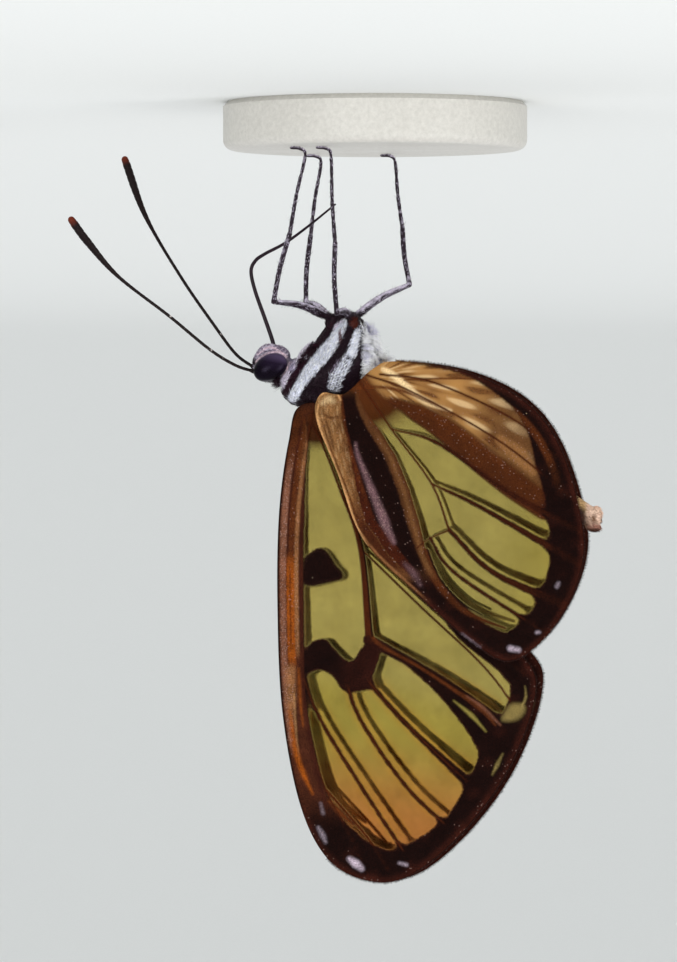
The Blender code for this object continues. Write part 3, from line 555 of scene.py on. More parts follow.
    # Tan lobe at the base: pale rim, dark side and a fold across it
    look.line([(3.04, 1.5), (2.75, 1.16), (2.13, 0.86), (1.65, 0.95), (1.36, 1.4)],
              (0.04, 0.06, 0.07, 0.06, 0.03), PALE_LINE, 1.0, 0.06, 0.04)
    look.line([(1.3, 1.5), (1.2, 2.4), (1.05, 3.4)], (0.05, 0.09, 0.05), ANAL_DARK, 1.0, 0.08)
    look.line([(2.45, 2.2), (2.05, 2.5), (1.35, 2.42)], (0.04, 0.08, 0.06), TAUPE, 1.0, 0.12)
    look.line([(2.5, 1.6), (2.1, 1.35), (1.8, 1.5)], (0.1, 0.2, 0.1), CREAM, 1.0, 0.2, where=0.5)
    look.line([(2.3, 2.6), (2.05, 3.4), (1.75, 4.5)], (0.05, 0.07, 0.04), TAUPE, 1.0, 0.1)
    look.line([(2.75, 1.7), (2.78, 2.7), (2.1, 4.6), (1.15, 7.0), (0.5, 8.9), (-0.25, 10.4)],
              (0.05, 0.07, 0.08, 0.07, 0.06, 0.04), PALE_LINE, 1.0, 0.04, 0.04)
    look.line([(2.55, 2.6), (1.9, 4.6), (0.95, 7.0), (0.3, 8.9), (-0.45, 10.4)],
              (0.02, 0.04, 0.04, 0.04, 0.02), ANAL_DARK, 1.0, 0.04)

    clear = np.maximum(1 - 0.85 * dark_mask, 0.45 * ease(-0.3, -0.12, dark))
    paint_veins(look, HINDWING_VEIN_HALVES, HINDWING_VEINS, HINDWING_VEIN_HALVES, clear)
    paint_vein_relief(look, HINDWING_VEINS)
    grainy = 0.8 + 0.25 * ripple(spots, 0.1, 0.7)
    for points, halves, share in (([(-9.2, 16.85), (-9.7, 16.95)], (0.16, 0.14), 0.9),
                                  ([(-10.85, 15.86), (-11.0, 15.85)], (0.06, 0.05), 0.9),
                                  ([(-12.1, 13.0), (-12.2, 12.8)], (0.1, 0.08), 0.5),
                                  ([(-6.2, 15.95), (-7.3, 16.8)], (0.03, 0.04), 0.45)):
        look.line(points, halves, WHITE_SPOT, 1.0, 0.14, where=grainy * share)
    return look


# Wing meshes


def new_mesh(name, points, faces):
    """Make a mesh from arrays: points in millimetres, faces all of the same number of corners."""
    points = np.asarray(points, np.float32) * MM
    faces = np.asarray(faces, np.int32)
    mesh = bpy.data.meshes.new(name)
    mesh.vertices.add(len(points))
    mesh.vertices.foreach_set("co", points.ravel())
    mesh.loops.add(faces.size)
    mesh.loops.foreach_set("vertex_index", faces.ravel())
    mesh.polygons.add(len(faces))
    starts = np.arange(0, faces.size, faces.shape[1], dtype=np.int32)
    mesh.polygons.foreach_set("loop_start", starts)
    mesh.update(calc_edges=True)
    mesh.validate()
    mesh.shade_smooth()
    return mesh


def add_colours(mesh, name, colours):
    layer = mesh.attributes.new(name, "FLOAT_COLOR", "POINT")
    values = np.ones((len(colours), 4), np.float32)
    values[:, :3] = colours
    layer.data.foreach_set("color", values.ravel())


def add_values(mesh, name, numbers):
    layer = mesh.attributes.new(name, "FLOAT", "POINT")
    layer.data.foreach_set("value", np.asarray(numbers, np.float32))


def add_item(name, data):
    """Put a new object in the scene."""
    item = bpy.data.objects.new(name, data)
    bpy.context.scene.collection.objects.link(item)
    return item


def add_piece(name, mesh, finish, slot, *nodes):
    """Show a mesh as one piece that rides on the body and stands for CAD nodes."""
    mesh.materials.append(finish)
    piece = add_item(name, mesh)
    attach(piece, "root")
    if nodes:
        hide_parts(*nodes)


def lattice(outline):
    """Return rows of evenly spaced spots that cover an outline, as a grid of points."""
    low, high = outline.min(0), outline.max(0)
    rows = np.arange(low[1], high[1], FINE_PITCH * math.sqrt(3) / 2)
    columns = np.arange(low[0], high[0], FINE_PITCH)
    grid = np.empty((len(rows), len(columns), 2))
    grid[..., 0] = columns + 0.5 * FINE_PITCH * (np.arange(len(rows)) % 2)[:, None]
    grid[..., 1] = rows[:, None]
    return grid


def busy_spots(grid, paint, outline):
    """Return the grid's spots inside the outline, thinned out where the look is even."""
    flat = grid.reshape(-1, 2)
    within = inside(flat, outline)
    depth, _ = line_distance(flat[within], outline)
    within[within] = depth > 0.6 * FINE_PITCH
    look = paint(flat[within])
    values = np.zeros((len(flat), 4))
    values[within, :3] = look.colour ** 0.5
    values[within, 3] = look.cover
    values = values.reshape(*grid.shape[:2], 4)
    change = np.zeros(grid.shape[:2])
    for axis in (0, 1):
        step = np.abs(np.diff(values, axis=axis)).max(-1)
        near = [slice(None), slice(None)]
        far = [slice(None), slice(None)]
        near[axis], far[axis] = slice(0, -1), slice(1, None)
        for side in (near, far):
            change[tuple(side)] = np.maximum(change[tuple(side)], step)
    rows, columns = np.indices(grid.shape[:2])
    coarse = (rows % COARSE_EVERY == 0) & (columns % COARSE_EVERY == 0)
    keep = within & ((change > DETAIL_CHANGE) | coarse).ravel()
    return flat[keep]


def wing_plan(outline_points, paint):
    """Return the spots, triangles and rim edges of a wing's flat shape, and its look."""
    line, _ = smooth_line(outline_points, RIM_PITCH, closed=True)
    rim = line[:-1]
    inner = busy_spots(lattice(rim), paint, rim)
    count = len(rim)
    edges = [(index, (index + 1) % count) for index in range(count)]
    points = [Vector(spot) for spot in np.concatenate([rim, inner])]
    spots, _, faces, *_ = delaunay_2d_cdt(points, edges, [], 1, 1e-6)
    spots = np.array([tuple(spot) for spot in spots])
    faces = np.array(faces)
    return spots, faces, border_edges(faces), paint(spots)


def border_edges(faces):
    """Return the directed edges that belong to only one triangle."""
    pairs = np.concatenate([faces[:, [0, 1]], faces[:, [1, 2]], faces[:, [2, 0]]])
    size = faces.max() + 1
    forward = pairs[:, 0] * size + pairs[:, 1]
    backward = pairs[:, 1] * size + pairs[:, 0]
    return pairs[~np.isin(forward, backward)]


def wing_stand_off(spots, offset):
    """Return the distance of a wing's middle surface from the middle plane."""
    away, _ = line_distance(spots, np.array([FOREWING_ROOT, HINDWING_ROOT]))
    near_root = ROOT_SPREAD * np.exp(-away / ROOT_SPREAD_REACH)
    return offset + near_root + TIP_FLARE * (away / WING_REACH) ** 2


def turned(spots, degrees):
    """Turn flat spots about the wing's root."""
    x, z = spots.T
    turn = math.radians(degrees)
    return np.stack([x * math.cos(turn) - z * math.sin(turn),
                     x * math.sin(turn) + z * math.cos(turn)], 1)


def add_wing(name, plan, root, offset, side, swing, finish):
    """Build one wing as a thin closed sheet that follows the middle of its solid."""
    spots, faces, rim, look = plan
    placed = turned(spots, swing) + root
    middle = wing_stand_off(placed, offset) + look.belly
    sheets = []
    for half in (MEMBRANE_HALF + look.height, -MEMBRANE_HALF - 0.3 * look.height):
        sheets.append(np.stack([placed[:, 0], side * (middle + half), placed[:, 1]], 1))
    count = len(spots)
    wall = np.concatenate([np.stack([rim[:, 1], rim[:, 0], rim[:, 0] + count], 1),
                           np.stack([rim[:, 1], rim[:, 0] + count, rim[:, 1] + count], 1)])
    skin = np.concatenate([faces, faces[:, ::-1] + count, wall])
    if side > 0:
        skin = skin[:, ::-1]
    mesh = new_mesh(name + "_sheet", np.concatenate(sheets), skin)
    add_colours(mesh, "wing_colour", np.concatenate([look.colour, look.colour]))
    add_values(mesh, "wing_cover", np.concatenate([look.cover, look.cover]))
    add_values(mesh, "wing_frost", np.concatenate([look.frost, look.frost]))
    add_piece(name + "_sheet", mesh, finish, "wing_membrane", name)


# Materials

# Counts per metre of scales and specks, the depths of bumps in metres, and fixed colours
WING_SCALES = 13000.0
BODY_SCALES = 11000.0
DUST_CELLS = 1500.0
COARSE_BUMP = 0.00003
FINE_BUMP = 0.00002
FROST_COLOUR = (0.4, 0.26, 0.22)
DUST_COLOUR = (0.75, 0.6, 0.4)


class Finish:
    """A Principled material with short calls that add and join its nodes."""

    def __init__(self, name, **constants):
        self.made = bpy.data.materials.new(name)
        self.made.use_nodes = True
        self.nodes = self.made.node_tree.nodes
        self.shader = self.nodes["Principled BSDF"]
        for socket, value in constants.items():
            self.shader.inputs[socket.replace("_", " ")].default_value = value

    def add(self, kind, values=None, **settings):
        node = self.nodes.new("ShaderNode" + kind)
        for key, value in settings.items():
            setattr(node, key, value)
        for socket, value in (values or {}).items():
            if isinstance(value, bpy.types.NodeSocket):
                self.made.node_tree.links.new(value, node.inputs[socket])
            else:
                node.inputs[socket].default_value = value
        return node

    def join(self, output, socket):
        self.made.node_tree.links.new(output, self.shader.inputs[socket])

    def place(self):
        return self.add("TexCoord").outputs["Object"]

    def attribute(self, name, output="Fac"):
        return self.add("Attribute", attribute_name=name).outputs[output]

    def noise(self, scale, detail=3.0, rough=0.55):
        values = {"Vector": self.place(), "Scale": scale, "Detail": detail, "Roughness": rough}
        return self.add("TexNoise", values).outputs["Fac"]

    def cells(self, scale):
        values = {"Vector": self.place(), "Scale": scale}
        return self.add("TexVoronoi", values, feature="F1").outputs

    def ranged(self, value, low, high, new_low=0.0, new_high=1.0):
        values = {"Value": value, "From Min": low, "From Max": high, "To Min": new_low,
                  "To Max": new_high}
        return self.add("MapRange", values).outputs["Result"]

    def cloud(self, scale, low, high, detail=3.0, rough=0.55):
        """Return soft noise that runs from low to high."""
        return self.ranged(self.noise(scale, detail, rough), 0.3, 0.7, low, high)

    def grey(self, value):
        return self.add("CombineColor", {0: value, 1: value, 2: value}).outputs[0]

    def red(self, colour):
        return self.add("SeparateColor", {0: colour}).outputs[0]

    def maths(self, operation, first, second):
        return self.add("Math", {0: first, 1: second}, operation=operation).outputs[0]

    def product(self, first, second):
        return self.maths("MULTIPLY", first, second)

    def mixed(self, share, first, second, blend="MIX"):
        node = self.add("Mix", data_type="RGBA", blend_type=blend)
        for socket, value in (("Factor_Float", share), ("A_Color", first), ("B_Color", second)):
            target = next(item for item in node.inputs if item.identifier == socket)
            if isinstance(value, bpy.types.NodeSocket):
                self.made.node_tree.links.new(value, target)
            elif socket == "Factor_Float":
                target.default_value = value
            else:
                target.default_value = (*value, 1.0)
        return next(item for item in node.outputs if item.identifier == "Result_Color")

    def bump(self, height, strength, distance):
        node = self.add("Bump", {"Height": height, "Strength": strength, "Distance": distance})
        self.join(node.outputs["Normal"], "Normal")


def wing_finish():
    """Tinted glassy membrane that turns into rows of matt scales wherever it is covered."""
    finish = Finish("wing_membrane", IOR=1.5, Specular_IOR_Level=0.03)
    colour = finish.attribute("wing_colour", "Color")
    cover = finish.attribute("wing_cover")
    scaled = finish.ranged(cover, 0.5, 1.0)

    # Scales in rows, shaded unevenly, some of them frosted
    rows = finish.cells(WING_SCALES)
    fleck = finish.ranged(rows["Distance"], 0.0, 0.8, 1.3, 0.55)
    shade = finish.product(fleck, finish.cloud(1100.0, 0.75, 1.25, 4.0))
    worn = finish.mixed(scaled, (1.0, 1.0, 1.0), finish.grey(shade))
    tinted = finish.mixed(1.0, colour, worn, "MULTIPLY")
    frosted = finish.maths("LESS_THAN", finish.red(rows["Color"]), finish.attribute("wing_frost"))
    pale = finish.product(finish.ranged(rows["Distance"], 0.1, 0.5, 1.0, 0.2), frosted)
    tinted = finish.mixed(finish.product(pale, 0.5), tinted, FROST_COLOUR)

    # A few loose pale specks of dust
    dust = finish.cells(DUST_CELLS)
    speck = finish.product(finish.ranged(dust["Distance"], 0.03, 0.05, 1.0, 0.0),
                           finish.ranged(finish.red(dust["Color"]), 0.95, 0.97))
    finish.join(finish.mixed(finish.product(speck, 0.6), tinted, DUST_COLOUR), "Base Color")
    finish.join(finish.ranged(cover, 0.3, 1.0, 0.3, 0.62), "Roughness")
    height = finish.product(rows["Distance"], scaled)
    finish.bump(finish.maths("ADD", height, finish.noise(2500.0, 2.0)), 0.35, COARSE_BUMP)

    # What the scales leave open lets tinted light through
    smear = finish.product(finish.ranged(finish.noise(500.0), 0.35, 0.7, -0.02, 0.03),
                           finish.ranged(cover, 0.1, 0.9, 1.0, 0.0))
    solid = finish.maths("MAXIMUM", finish.maths("ADD", cover, smear), finish.product(speck, 0.8))
    stain = finish.ranged(finish.noise(420.0, 5.0, 0.65), 0.35, 0.65, 1.08, 0.8)
    stained = finish.mixed(1.0, colour, finish.grey(stain), "MULTIPLY")
    tint = finish.add("Gamma", {"Color": stained, "Gamma": MEMBRANE_TINT}).outputs[0]
    open_part = finish.add("BsdfTransparent", {"Color": tint}).outputs[0]
    blend = finish.add("MixShader", {0: solid, 1: open_part, 2: finish.shader.outputs[0]})
    output = finish.nodes["Material Output"]
    finish.made.node_tree.links.new(blend.outputs[0], output.inputs["Surface"])
    return finish.made


# The four wings

# Each kind of wing: name, outline, paint, root, offset from the middle plane, swings of the
# right and left one, and the outline's numbers between which the margin carries a fringe
WINGS = (
    ("forewing", FOREWING_OUTLINE, paint_forewing, FOREWING_ROOT, FOREWING_OFFSET,
     (0.0, FOREWING_SWING), (6.0, 15.5)),
    ("hindwing", HINDWING_OUTLINE, paint_hindwing, HINDWING_ROOT, HINDWING_OFFSET,
     (0.0, HINDWING_SWING), (5.0, 14.0)),
)


def add_wings():
    finish = wing_finish()
    plans = [wing_plan(outline, paint) for _, outline, paint, *_ in WINGS]
    for index, (label, side) in enumerate(SIDES):
        for plan, (name, _, _, root, offset, swings, _) in zip(plans, WINGS):
            add_wing(f"{name}_{label}", plan, root, offset, side, swings[index], finish)


# Body shapes in the world's own millimetres

THORAX_SECTIONS = [
    (3.2, 17.6, 18.3, 0.3), (3.0, 17.1, 18.6, 0.65), (2.6, 16.5, 18.95, 0.95),
    (2.15, 16.0, 19.1, 1.15), (1.6, 15.35, 19.1, 1.35), (1.1, 14.85, 18.9, 1.58),
    (0.2, 13.72, 18.83, 1.85), (-0.9, 13.15, 18.7, 1.95), (-1.9, 13.65, 18.0, 1.85),
    (-2.5, 14.9, 17.4, 1.2), (-2.8, 15.6, 16.9, 0.4),
]
THORAX_WAIST = 0.57
THORAX_KEEL = 0.3
THORAX_SIDES = 40
COAT_DEPTH = 0.1
END_CAP = ((0.45, 0.9), (0.8, 0.6), (0.97, 0.25))

# Rounded parts: centre, radii and tilt about Y in degrees; those off the middle are paired
BODY_BALLS = [
    ((3.95, 0.0, 16.45), (1.02, 0.95, 1.02), 0.0), ((3.62, 0.0, 15.88), (0.88, 0.8, 0.68), 0.0),
    ((4.55, 0.0, 16.35), (0.5, 0.5, 0.72), 0.0), ((2.85, 0.0, 16.7), (0.5, 0.6, 0.7), 0.0),
    ((2.55, 0.45, 16.75), (0.42, 0.55, 0.72), 24.0), ((2.95, 0.5, 17.35), (0.32, 0.42, 0.5), 24.0),
    ((-0.45, 0.0, 13.9), (0.95, 0.6, 0.7), 0.0),
    ((0.1, 0.6, 13.85), (0.34, 0.4, 0.55), 0.0), ((-1.15, 0.68, 13.85), (0.44, 0.4, 0.62), 0.0),
    ((0.9, 1.35, 18.35), (0.85, 0.3, 0.5), 10.0),
    ((-16.35, 0.0, 25.75), (0.45, 0.5, 0.5), 0.0), ((-16.2, 0.26, 26.5), (0.5, 0.22, 0.36), 12.0),
]
ABDOMEN_ROUTE = [(-2.0, 0.0, 16.1), (-3.3, 0.0, 16.85), (-5.5, 0.0, 18.75), (-9.9, 0.0, 22.3),
                 (-13.5, 0.0, 24.6), (-16.5, 0.0, 26.15)]
ABDOMEN_RADII = [(0.0, 0.42), (0.08, 0.5), (0.16, 0.74), (0.35, 0.88), (0.7, 0.88), (0.9, 0.8),
                 (0.97, 0.6), (1.0, 0.3)]
ABDOMEN_SEGMENTS = 8
ABDOMEN_STEP_OUT = 0.05
ABDOMEN_FLATTEN = 0.84
LEG_JOINTS = {
    "midleg_right": ((0.25, -0.8, 13.5), (3.7, -4.2, 12.6), (2.7, -4.4, 8.4), (1.75, -4.5)),
    "midleg_left": ((0.25, 0.8, 13.5), (1.75, 4.4, 12.4), (1.45, 4.6, 8.2), (0.8, 4.7)),
    "hindleg_right": ((-1.1, -0.9, 13.5), (-0.2, -4.6, 13.3), (-0.1, -4.7, 9.0), (0.15, -4.8)),
    "hindleg_left": ((-1.2, 0.9, 13.5), (-4.8, 4.1, 11.3), (-4.35, 4.3, 7.7), (-3.9, 4.4)),
}
BASE_TOP = 3.0
FEMUR_RADII = [(0.0, 0.2), (0.25, 0.26), (0.6, 0.22), (0.9, 0.17), (1.0, 0.16)]
TIBIA_RADII = [(0.0, 0.17), (0.1, 0.155), (0.7, 0.165), (1.0, 0.16)]
TARSUS_RADIUS = 0.14
TARSUS_SEGMENTS = 5
TOE_LENGTH = 0.9
TOE_ASIDE = 0.3
FORELEG_ROUTE = [(1.15, 0.65, 15.2), (1.35, 0.8, 15.2), (1.6, 0.85, 15.36), (2.05, 0.8, 15.92),
                 (2.4, 0.7, 16.42)]
FORELEG_RADII = [(0.0, 0.12), (0.5, 0.17), (1.0, 0.1)]
PALP_ROUTE = [(3.5, 0.4, 15.4), (4.1, 0.45, 15.33), (4.6, 0.42, 15.7), (4.82, 0.36, 16.3)]
PALP_RADII = [(0.0, 0.18), (0.5, 0.22), (0.85, 0.18), (1.0, 0.1)]
SKIN_VOXEL = 0.06
SKIN_SMOOTHING = 4


def profile(table, shares):
    """Return the table's values at shares of the way along."""
    places, values = zip(*table)
    return np.interp(shares, places, values)


def loft(rings):
    """Return points and triangles of a closed skin through equal rings."""
    rings = np.asarray(rings)
    levels, sides = rings.shape[:2]
    points = np.concatenate([rings.reshape(-1, 3), rings[:1].mean(1), rings[-1:].mean(1)])
    side = np.arange(sides)
    after = (side + 1) % sides
    faces = []
    for level in range(levels - 1):
        low, high = level * sides, (level + 1) * sides
        faces.append(np.stack([low + side, low + after, high + after], 1))
        faces.append(np.stack([low + side, high + after, high + side], 1))
    first, last = levels * sides, levels * sides + 1
    faces.append(np.stack([np.full(sides, first), after, side], 1))
    top = (levels - 1) * sides
    faces.append(np.stack([np.full(sides, last), top + side, top + after], 1))
    return points, np.concatenate(faces)


def travel(line):
    """Return the forward, level-across and upward direction at each point of a line."""
    forward = np.gradient(line, axis=0)
    forward /= np.linalg.norm(forward, axis=1)[:, None]
    across = np.zeros_like(line)
    last = np.array([0.0, 1.0, 0.0])
    for index, way in enumerate(forward):
        last = last - way * (last @ way)
        last /= np.linalg.norm(last)
        across[index] = last
    return forward, across, np.cross(forward, across)


def swept(route, radii, sides=16, step=0.12, flatten=1.0):
    """Sweep an oval along a smooth route and round off its ends."""
    line, _ = smooth_line(route, step)
    forward, across, over = travel(line)
    shares = np.linspace(0.0, 1.0, len(line))
    sizes = radii(shares) if callable(radii) else profile(radii, shares)
    turns = 2 * math.pi * np.arange(sides) / sides
    circle = (np.cos(turns)[None, :, None] * across[:, None] * flatten
              + np.sin(turns)[None, :, None] * over[:, None])
    rings = line[:, None] + circle * sizes[:, None, None]
    start = [line[0] - forward[0] * sizes[0] * reach + circle[0] * sizes[0] * size
             for reach, size in reversed(END_CAP)]
    end = [line[-1] + forward[-1] * sizes[-1] * reach + circle[-1] * sizes[-1] * size
           for reach, size in END_CAP]
    return loft(np.concatenate([start, rings, end]))


def ball(centre, radii, tilt=0.0, bands=18, sides=26):
    """Return an ellipsoid with its poles on X, tilted about Y."""
    tilts = math.pi * (np.arange(bands) + 0.5) / bands
    turns = 2 * math.pi * np.arange(sides) / sides
    rings = np.stack([np.repeat(np.cos(tilts)[:, None], sides, 1),
                      np.sin(tilts)[:, None] * np.cos(turns),
                      np.sin(tilts)[:, None] * np.sin(turns)], -1)
    points, faces = loft(rings[::-1])
    turn = np.array(Matrix.Rotation(math.radians(tilt), 3, "Y"))
    return (points * radii) @ turn.T + centre, faces


def mirrored(points):
    return [(x, -y, z) for x, y, z in points]


def thorax_shell():
    """Return the thorax's loft, drawn in by the depth of its coat."""
    line, _ = smooth_line(THORAX_SECTIONS, 0.2)
    turns = 2 * math.pi * np.arange(THORAX_SIDES) / THORAX_SIDES
    rise = np.sin(turns)
    narrow = 1.0 - THORAX_KEEL * np.maximum(0.0, -rise)
    rings = []
    for x, low, high, half_width in line:
        low, high = low + COAT_DEPTH, high - COAT_DEPTH
        half_width = max(half_width - COAT_DEPTH, 0.1)
        waist = low + THORAX_WAIST * (high - low)
        reach = np.where(rise > 0, high - waist, waist - low)
        rings.append(np.stack([np.full(THORAX_SIDES, x), half_width * narrow * np.cos(turns),
                               waist + reach * rise], 1))
    return loft(rings[::-1])


def abdomen_radii(shares):
    """Return the abdomen's radius, each segment a little wider at its rear edge."""
    part = (shares * ABDOMEN_SEGMENTS) % 1.0
    step = ABDOMEN_STEP_OUT * (ease(0.0, 0.85, part) - ease(0.88, 1.0, part) - 0.5)
    return profile(ABDOMEN_RADII, shares) + step * ease(0.0, 0.15, shares)


def tarsus_radii(shares):
    """Return a foot's radius, pinched between its segments."""
    part = (shares * TARSUS_SEGMENTS) % 1.0
    return TARSUS_RADIUS * (1.0 - 0.25 * np.exp(-((part - 0.02) / 0.1) ** 2)) * (1 - 0.25 * shares)


def leg_routes(name):
    """Return the routes of a leg's thigh, shin and foot, joined end to end."""
    hip, knee, ankle, foot = (np.array(place) for place in LEG_JOINTS[name])
    outward = math.copysign(1.0, foot[1])
    sole = BASE_TOP + TARSUS_RADIUS * 0.8
    bow = np.array([0.1, 0.12 * outward, 0.0])
    thigh = [hip, (hip + knee) / 2 + (0.0, 0.15 * outward, -0.25), knee]
    shin = [knee, (knee + ankle) / 2 + bow, ankle]
    heel = np.array([foot[0], foot[1], sole + 0.5])
    toe = np.array([foot[0] + TOE_LENGTH, foot[1] + TOE_ASIDE * outward, sole])
    bend = np.array([foot[0] + 0.28, foot[1] + 0.08 * outward, sole + 0.06])
    return thigh, shin, [ankle, (ankle + heel) / 2 + bow * 0.6, heel, bend, toe]


def body_parts():
    """Return the closed shells that are fused into the skin."""
    parts = [thorax_shell(), swept(ABDOMEN_ROUTE, abdomen_radii, 36, 0.12, ABDOMEN_FLATTEN)]
    for centre, radii, tilt in BODY_BALLS:
        for side in (1, -1) if centre[1] else (1,):
            parts.append(ball((centre[0], centre[1] * side, centre[2]), radii, tilt))
    for name in LEG_JOINTS:
        thigh, shin, foot = leg_routes(name)
        parts += [swept(thigh, FEMUR_RADII), swept(shin, TIBIA_RADII), swept(foot, tarsus_radii)]
    for route, radii in ((FORELEG_ROUTE, FORELEG_RADII), (PALP_ROUTE, PALP_RADII)):
        parts += [swept(route, radii), swept(mirrored(route), radii)]
    return parts


def fused(parts, voxel, smoothing):
    """Fuse closed shells into one smooth skin, as arrays of points and quads."""
    points, faces, start = [], [], 0
    for part_points, part_faces in parts:
        points.append(part_points / MM)
        faces.append(part_faces + start)
        start += len(part_points)
    mesh = new_mesh("shells", np.concatenate(points), np.concatenate(faces))
    item = add_item("shells", mesh)
    remesh = item.modifiers.new("fuse", "REMESH")
    remesh.mode = "VOXEL"
    remesh.voxel_size = voxel
    smooth = item.modifiers.new("smooth", "SMOOTH")
    smooth.factor = 0.5
    smooth.iterations = smoothing
    settled = item.evaluated_get(bpy.context.evaluated_depsgraph_get()).to_mesh()
    fused_points = np.empty(len(settled.vertices) * 3, np.float32)
    settled.vertices.foreach_get("co", fused_points)
    corners = np.empty(len(settled.loops), np.int32)
    settled.loops.foreach_get("vertex_index", corners)
    normals = np.empty(len(settled.vertices) * 3, np.float32)
    settled.vertex_normals.foreach_get("vector", normals)
    result = fused_points.reshape(-1, 3), corners.reshape(-1, 4), normals.reshape(-1, 3)
    bpy.data.objects.remove(item, do_unlink=True)
    return result


# Markings of the body

EYE_CENTRE = (3.94, 0.78, 16.6)
EYE_RADII = (1.12, 0.6, 0.8)
EYE_TILT = -29.0
BODY_DARK = srgb(30, 10, 22)
BODY_WHITE = np.array((0.86, 0.88, 1.0))
BODY_PINK = srgb(222, 212, 228)
BODY_GREY = srgb(138, 124, 144)
COLLAR_GREY = srgb(160, 152, 174)
BODY_MAROON = srgb(44, 14, 28)
HAIR_WHITE = np.array((0.97, 0.97, 1.0))
# Lavender painted into some clumps of the rear hair, standing in for the shadow among them
HAIR_SHADOW_LAVENDER = np.array((0.58, 0.56, 0.74))
RIM_PINK = srgb(236, 208, 218)
BODY_BROWN = srgb(88, 50, 50)
COXA_RUST = srgb(78, 28, 14)
ABDOMEN_DARK = srgb(64, 34, 20)
ABDOMEN_PALE = srgb(196, 158, 108)
TAIL_PEACH = srgb(232, 196, 172)
TAIL_BROWN = srgb(150, 104, 88)
# Painted shade of the opening at the tail's tip
TAIL_OPENING_SHADE = srgb(106, 68, 40)
LEG_DARK = srgb(34, 18, 32)
LEG_PALE = srgb(216, 206, 226)

# Markings of the body as lines of changing half width on its side view
THORAX_STRIPES = [
    ([(-0.6, 13.9), (-0.35, 14.3), (0.09, 15.09), (0.73, 15.94), (1.51, 16.81), (2.16, 17.73),
      (2.55, 18.5)], (0.25, 0.33, 0.38, 0.46, 0.42, 0.36, 0.3), BODY_WHITE),
    ([(-1.52, 14.35), (-1.27, 15.23), (-1.02, 15.95), (-0.6, 16.66), (-0.12, 17.3),
      (-0.02, 17.8)], (0.18, 0.28, 0.31, 0.37, 0.42, 0.4), BODY_WHITE),
    ([(-2.3, 13.9), (-2.3, 15.2), (-2.3, 16.6), (-2.2, 17.6)], (0.4, 0.5, 0.55, 0.5), HAIR_WHITE),
    ([(-1.77, 13.6), (-1.77, 14.73), (-1.63, 15.73), (-1.42, 16.5), (-1.06, 17.2), (-0.84, 17.9)],
     (0.03, 0.05, 0.08, 0.26, 0.28, 0.28), BODY_DARK),
    ([(-0.8, 16.05), (-1.15, 16.18), (-1.5, 16.25)], (0.03, 0.09, 0.11), BODY_DARK),
    ([(-0.72, 16.35), (-0.78, 16.55)], (0.08, 0.05), BODY_DARK),
    ([(-0.25, 16.25), (-0.1, 16.6), (0.15, 16.95)], (0.03, 0.07, 0.04), BODY_GREY),
    ([(-0.35, 14.35), (-0.38, 15.1)], (0.05, 0.1), BODY_BROWN),
    ([(-0.5, 13.75), (-0.15, 14.0), (0.05, 14.35)], (0.05, 0.07, 0.04), BODY_PINK),
    ([(-1.24, 13.8), (-1.3, 14.0)], (0.26, 0.2), COXA_RUST),
    ([(3.0, 15.9), (2.72, 16.3), (2.6, 16.7)], (0.34, 0.3, 0.2), COLLAR_GREY),
    ([(2.95, 17.0), (3.08, 17.4), (3.25, 17.9)], (0.22, 0.26, 0.2), BODY_PINK),
    ([(0.15, 13.9), (0.7, 14.75), (1.2, 15.4), (1.7, 15.98), (2.08, 16.55), (2.4, 17.15),
      (2.74, 17.7), (3.02, 18.25)], (0.12, 0.17, 0.2, 0.22, 0.21, 0.2, 0.23, 0.2), BODY_MAROON),
    ([(2.46, 16.62), (2.37, 16.16), (2.06, 15.72), (1.62, 15.16), (1.2, 14.98)],
     (0.04, 0.07, 0.08, 0.09, 0.05), BODY_PINK),
    ([(1.78, 15.98), (1.72, 16.05)], (0.04, 0.04), BODY_PINK),
    ([(4.78, 16.5), (4.95, 16.62), (4.9, 16.85)], (0.12, 0.12, 0.08), BODY_PINK),
    ([(2.75, 16.4), (3.0, 16.75), (3.3, 17.05)], (0.05, 0.07, 0.04), RIM_PINK),
]
HEAD_RIM_HALF = 0.045


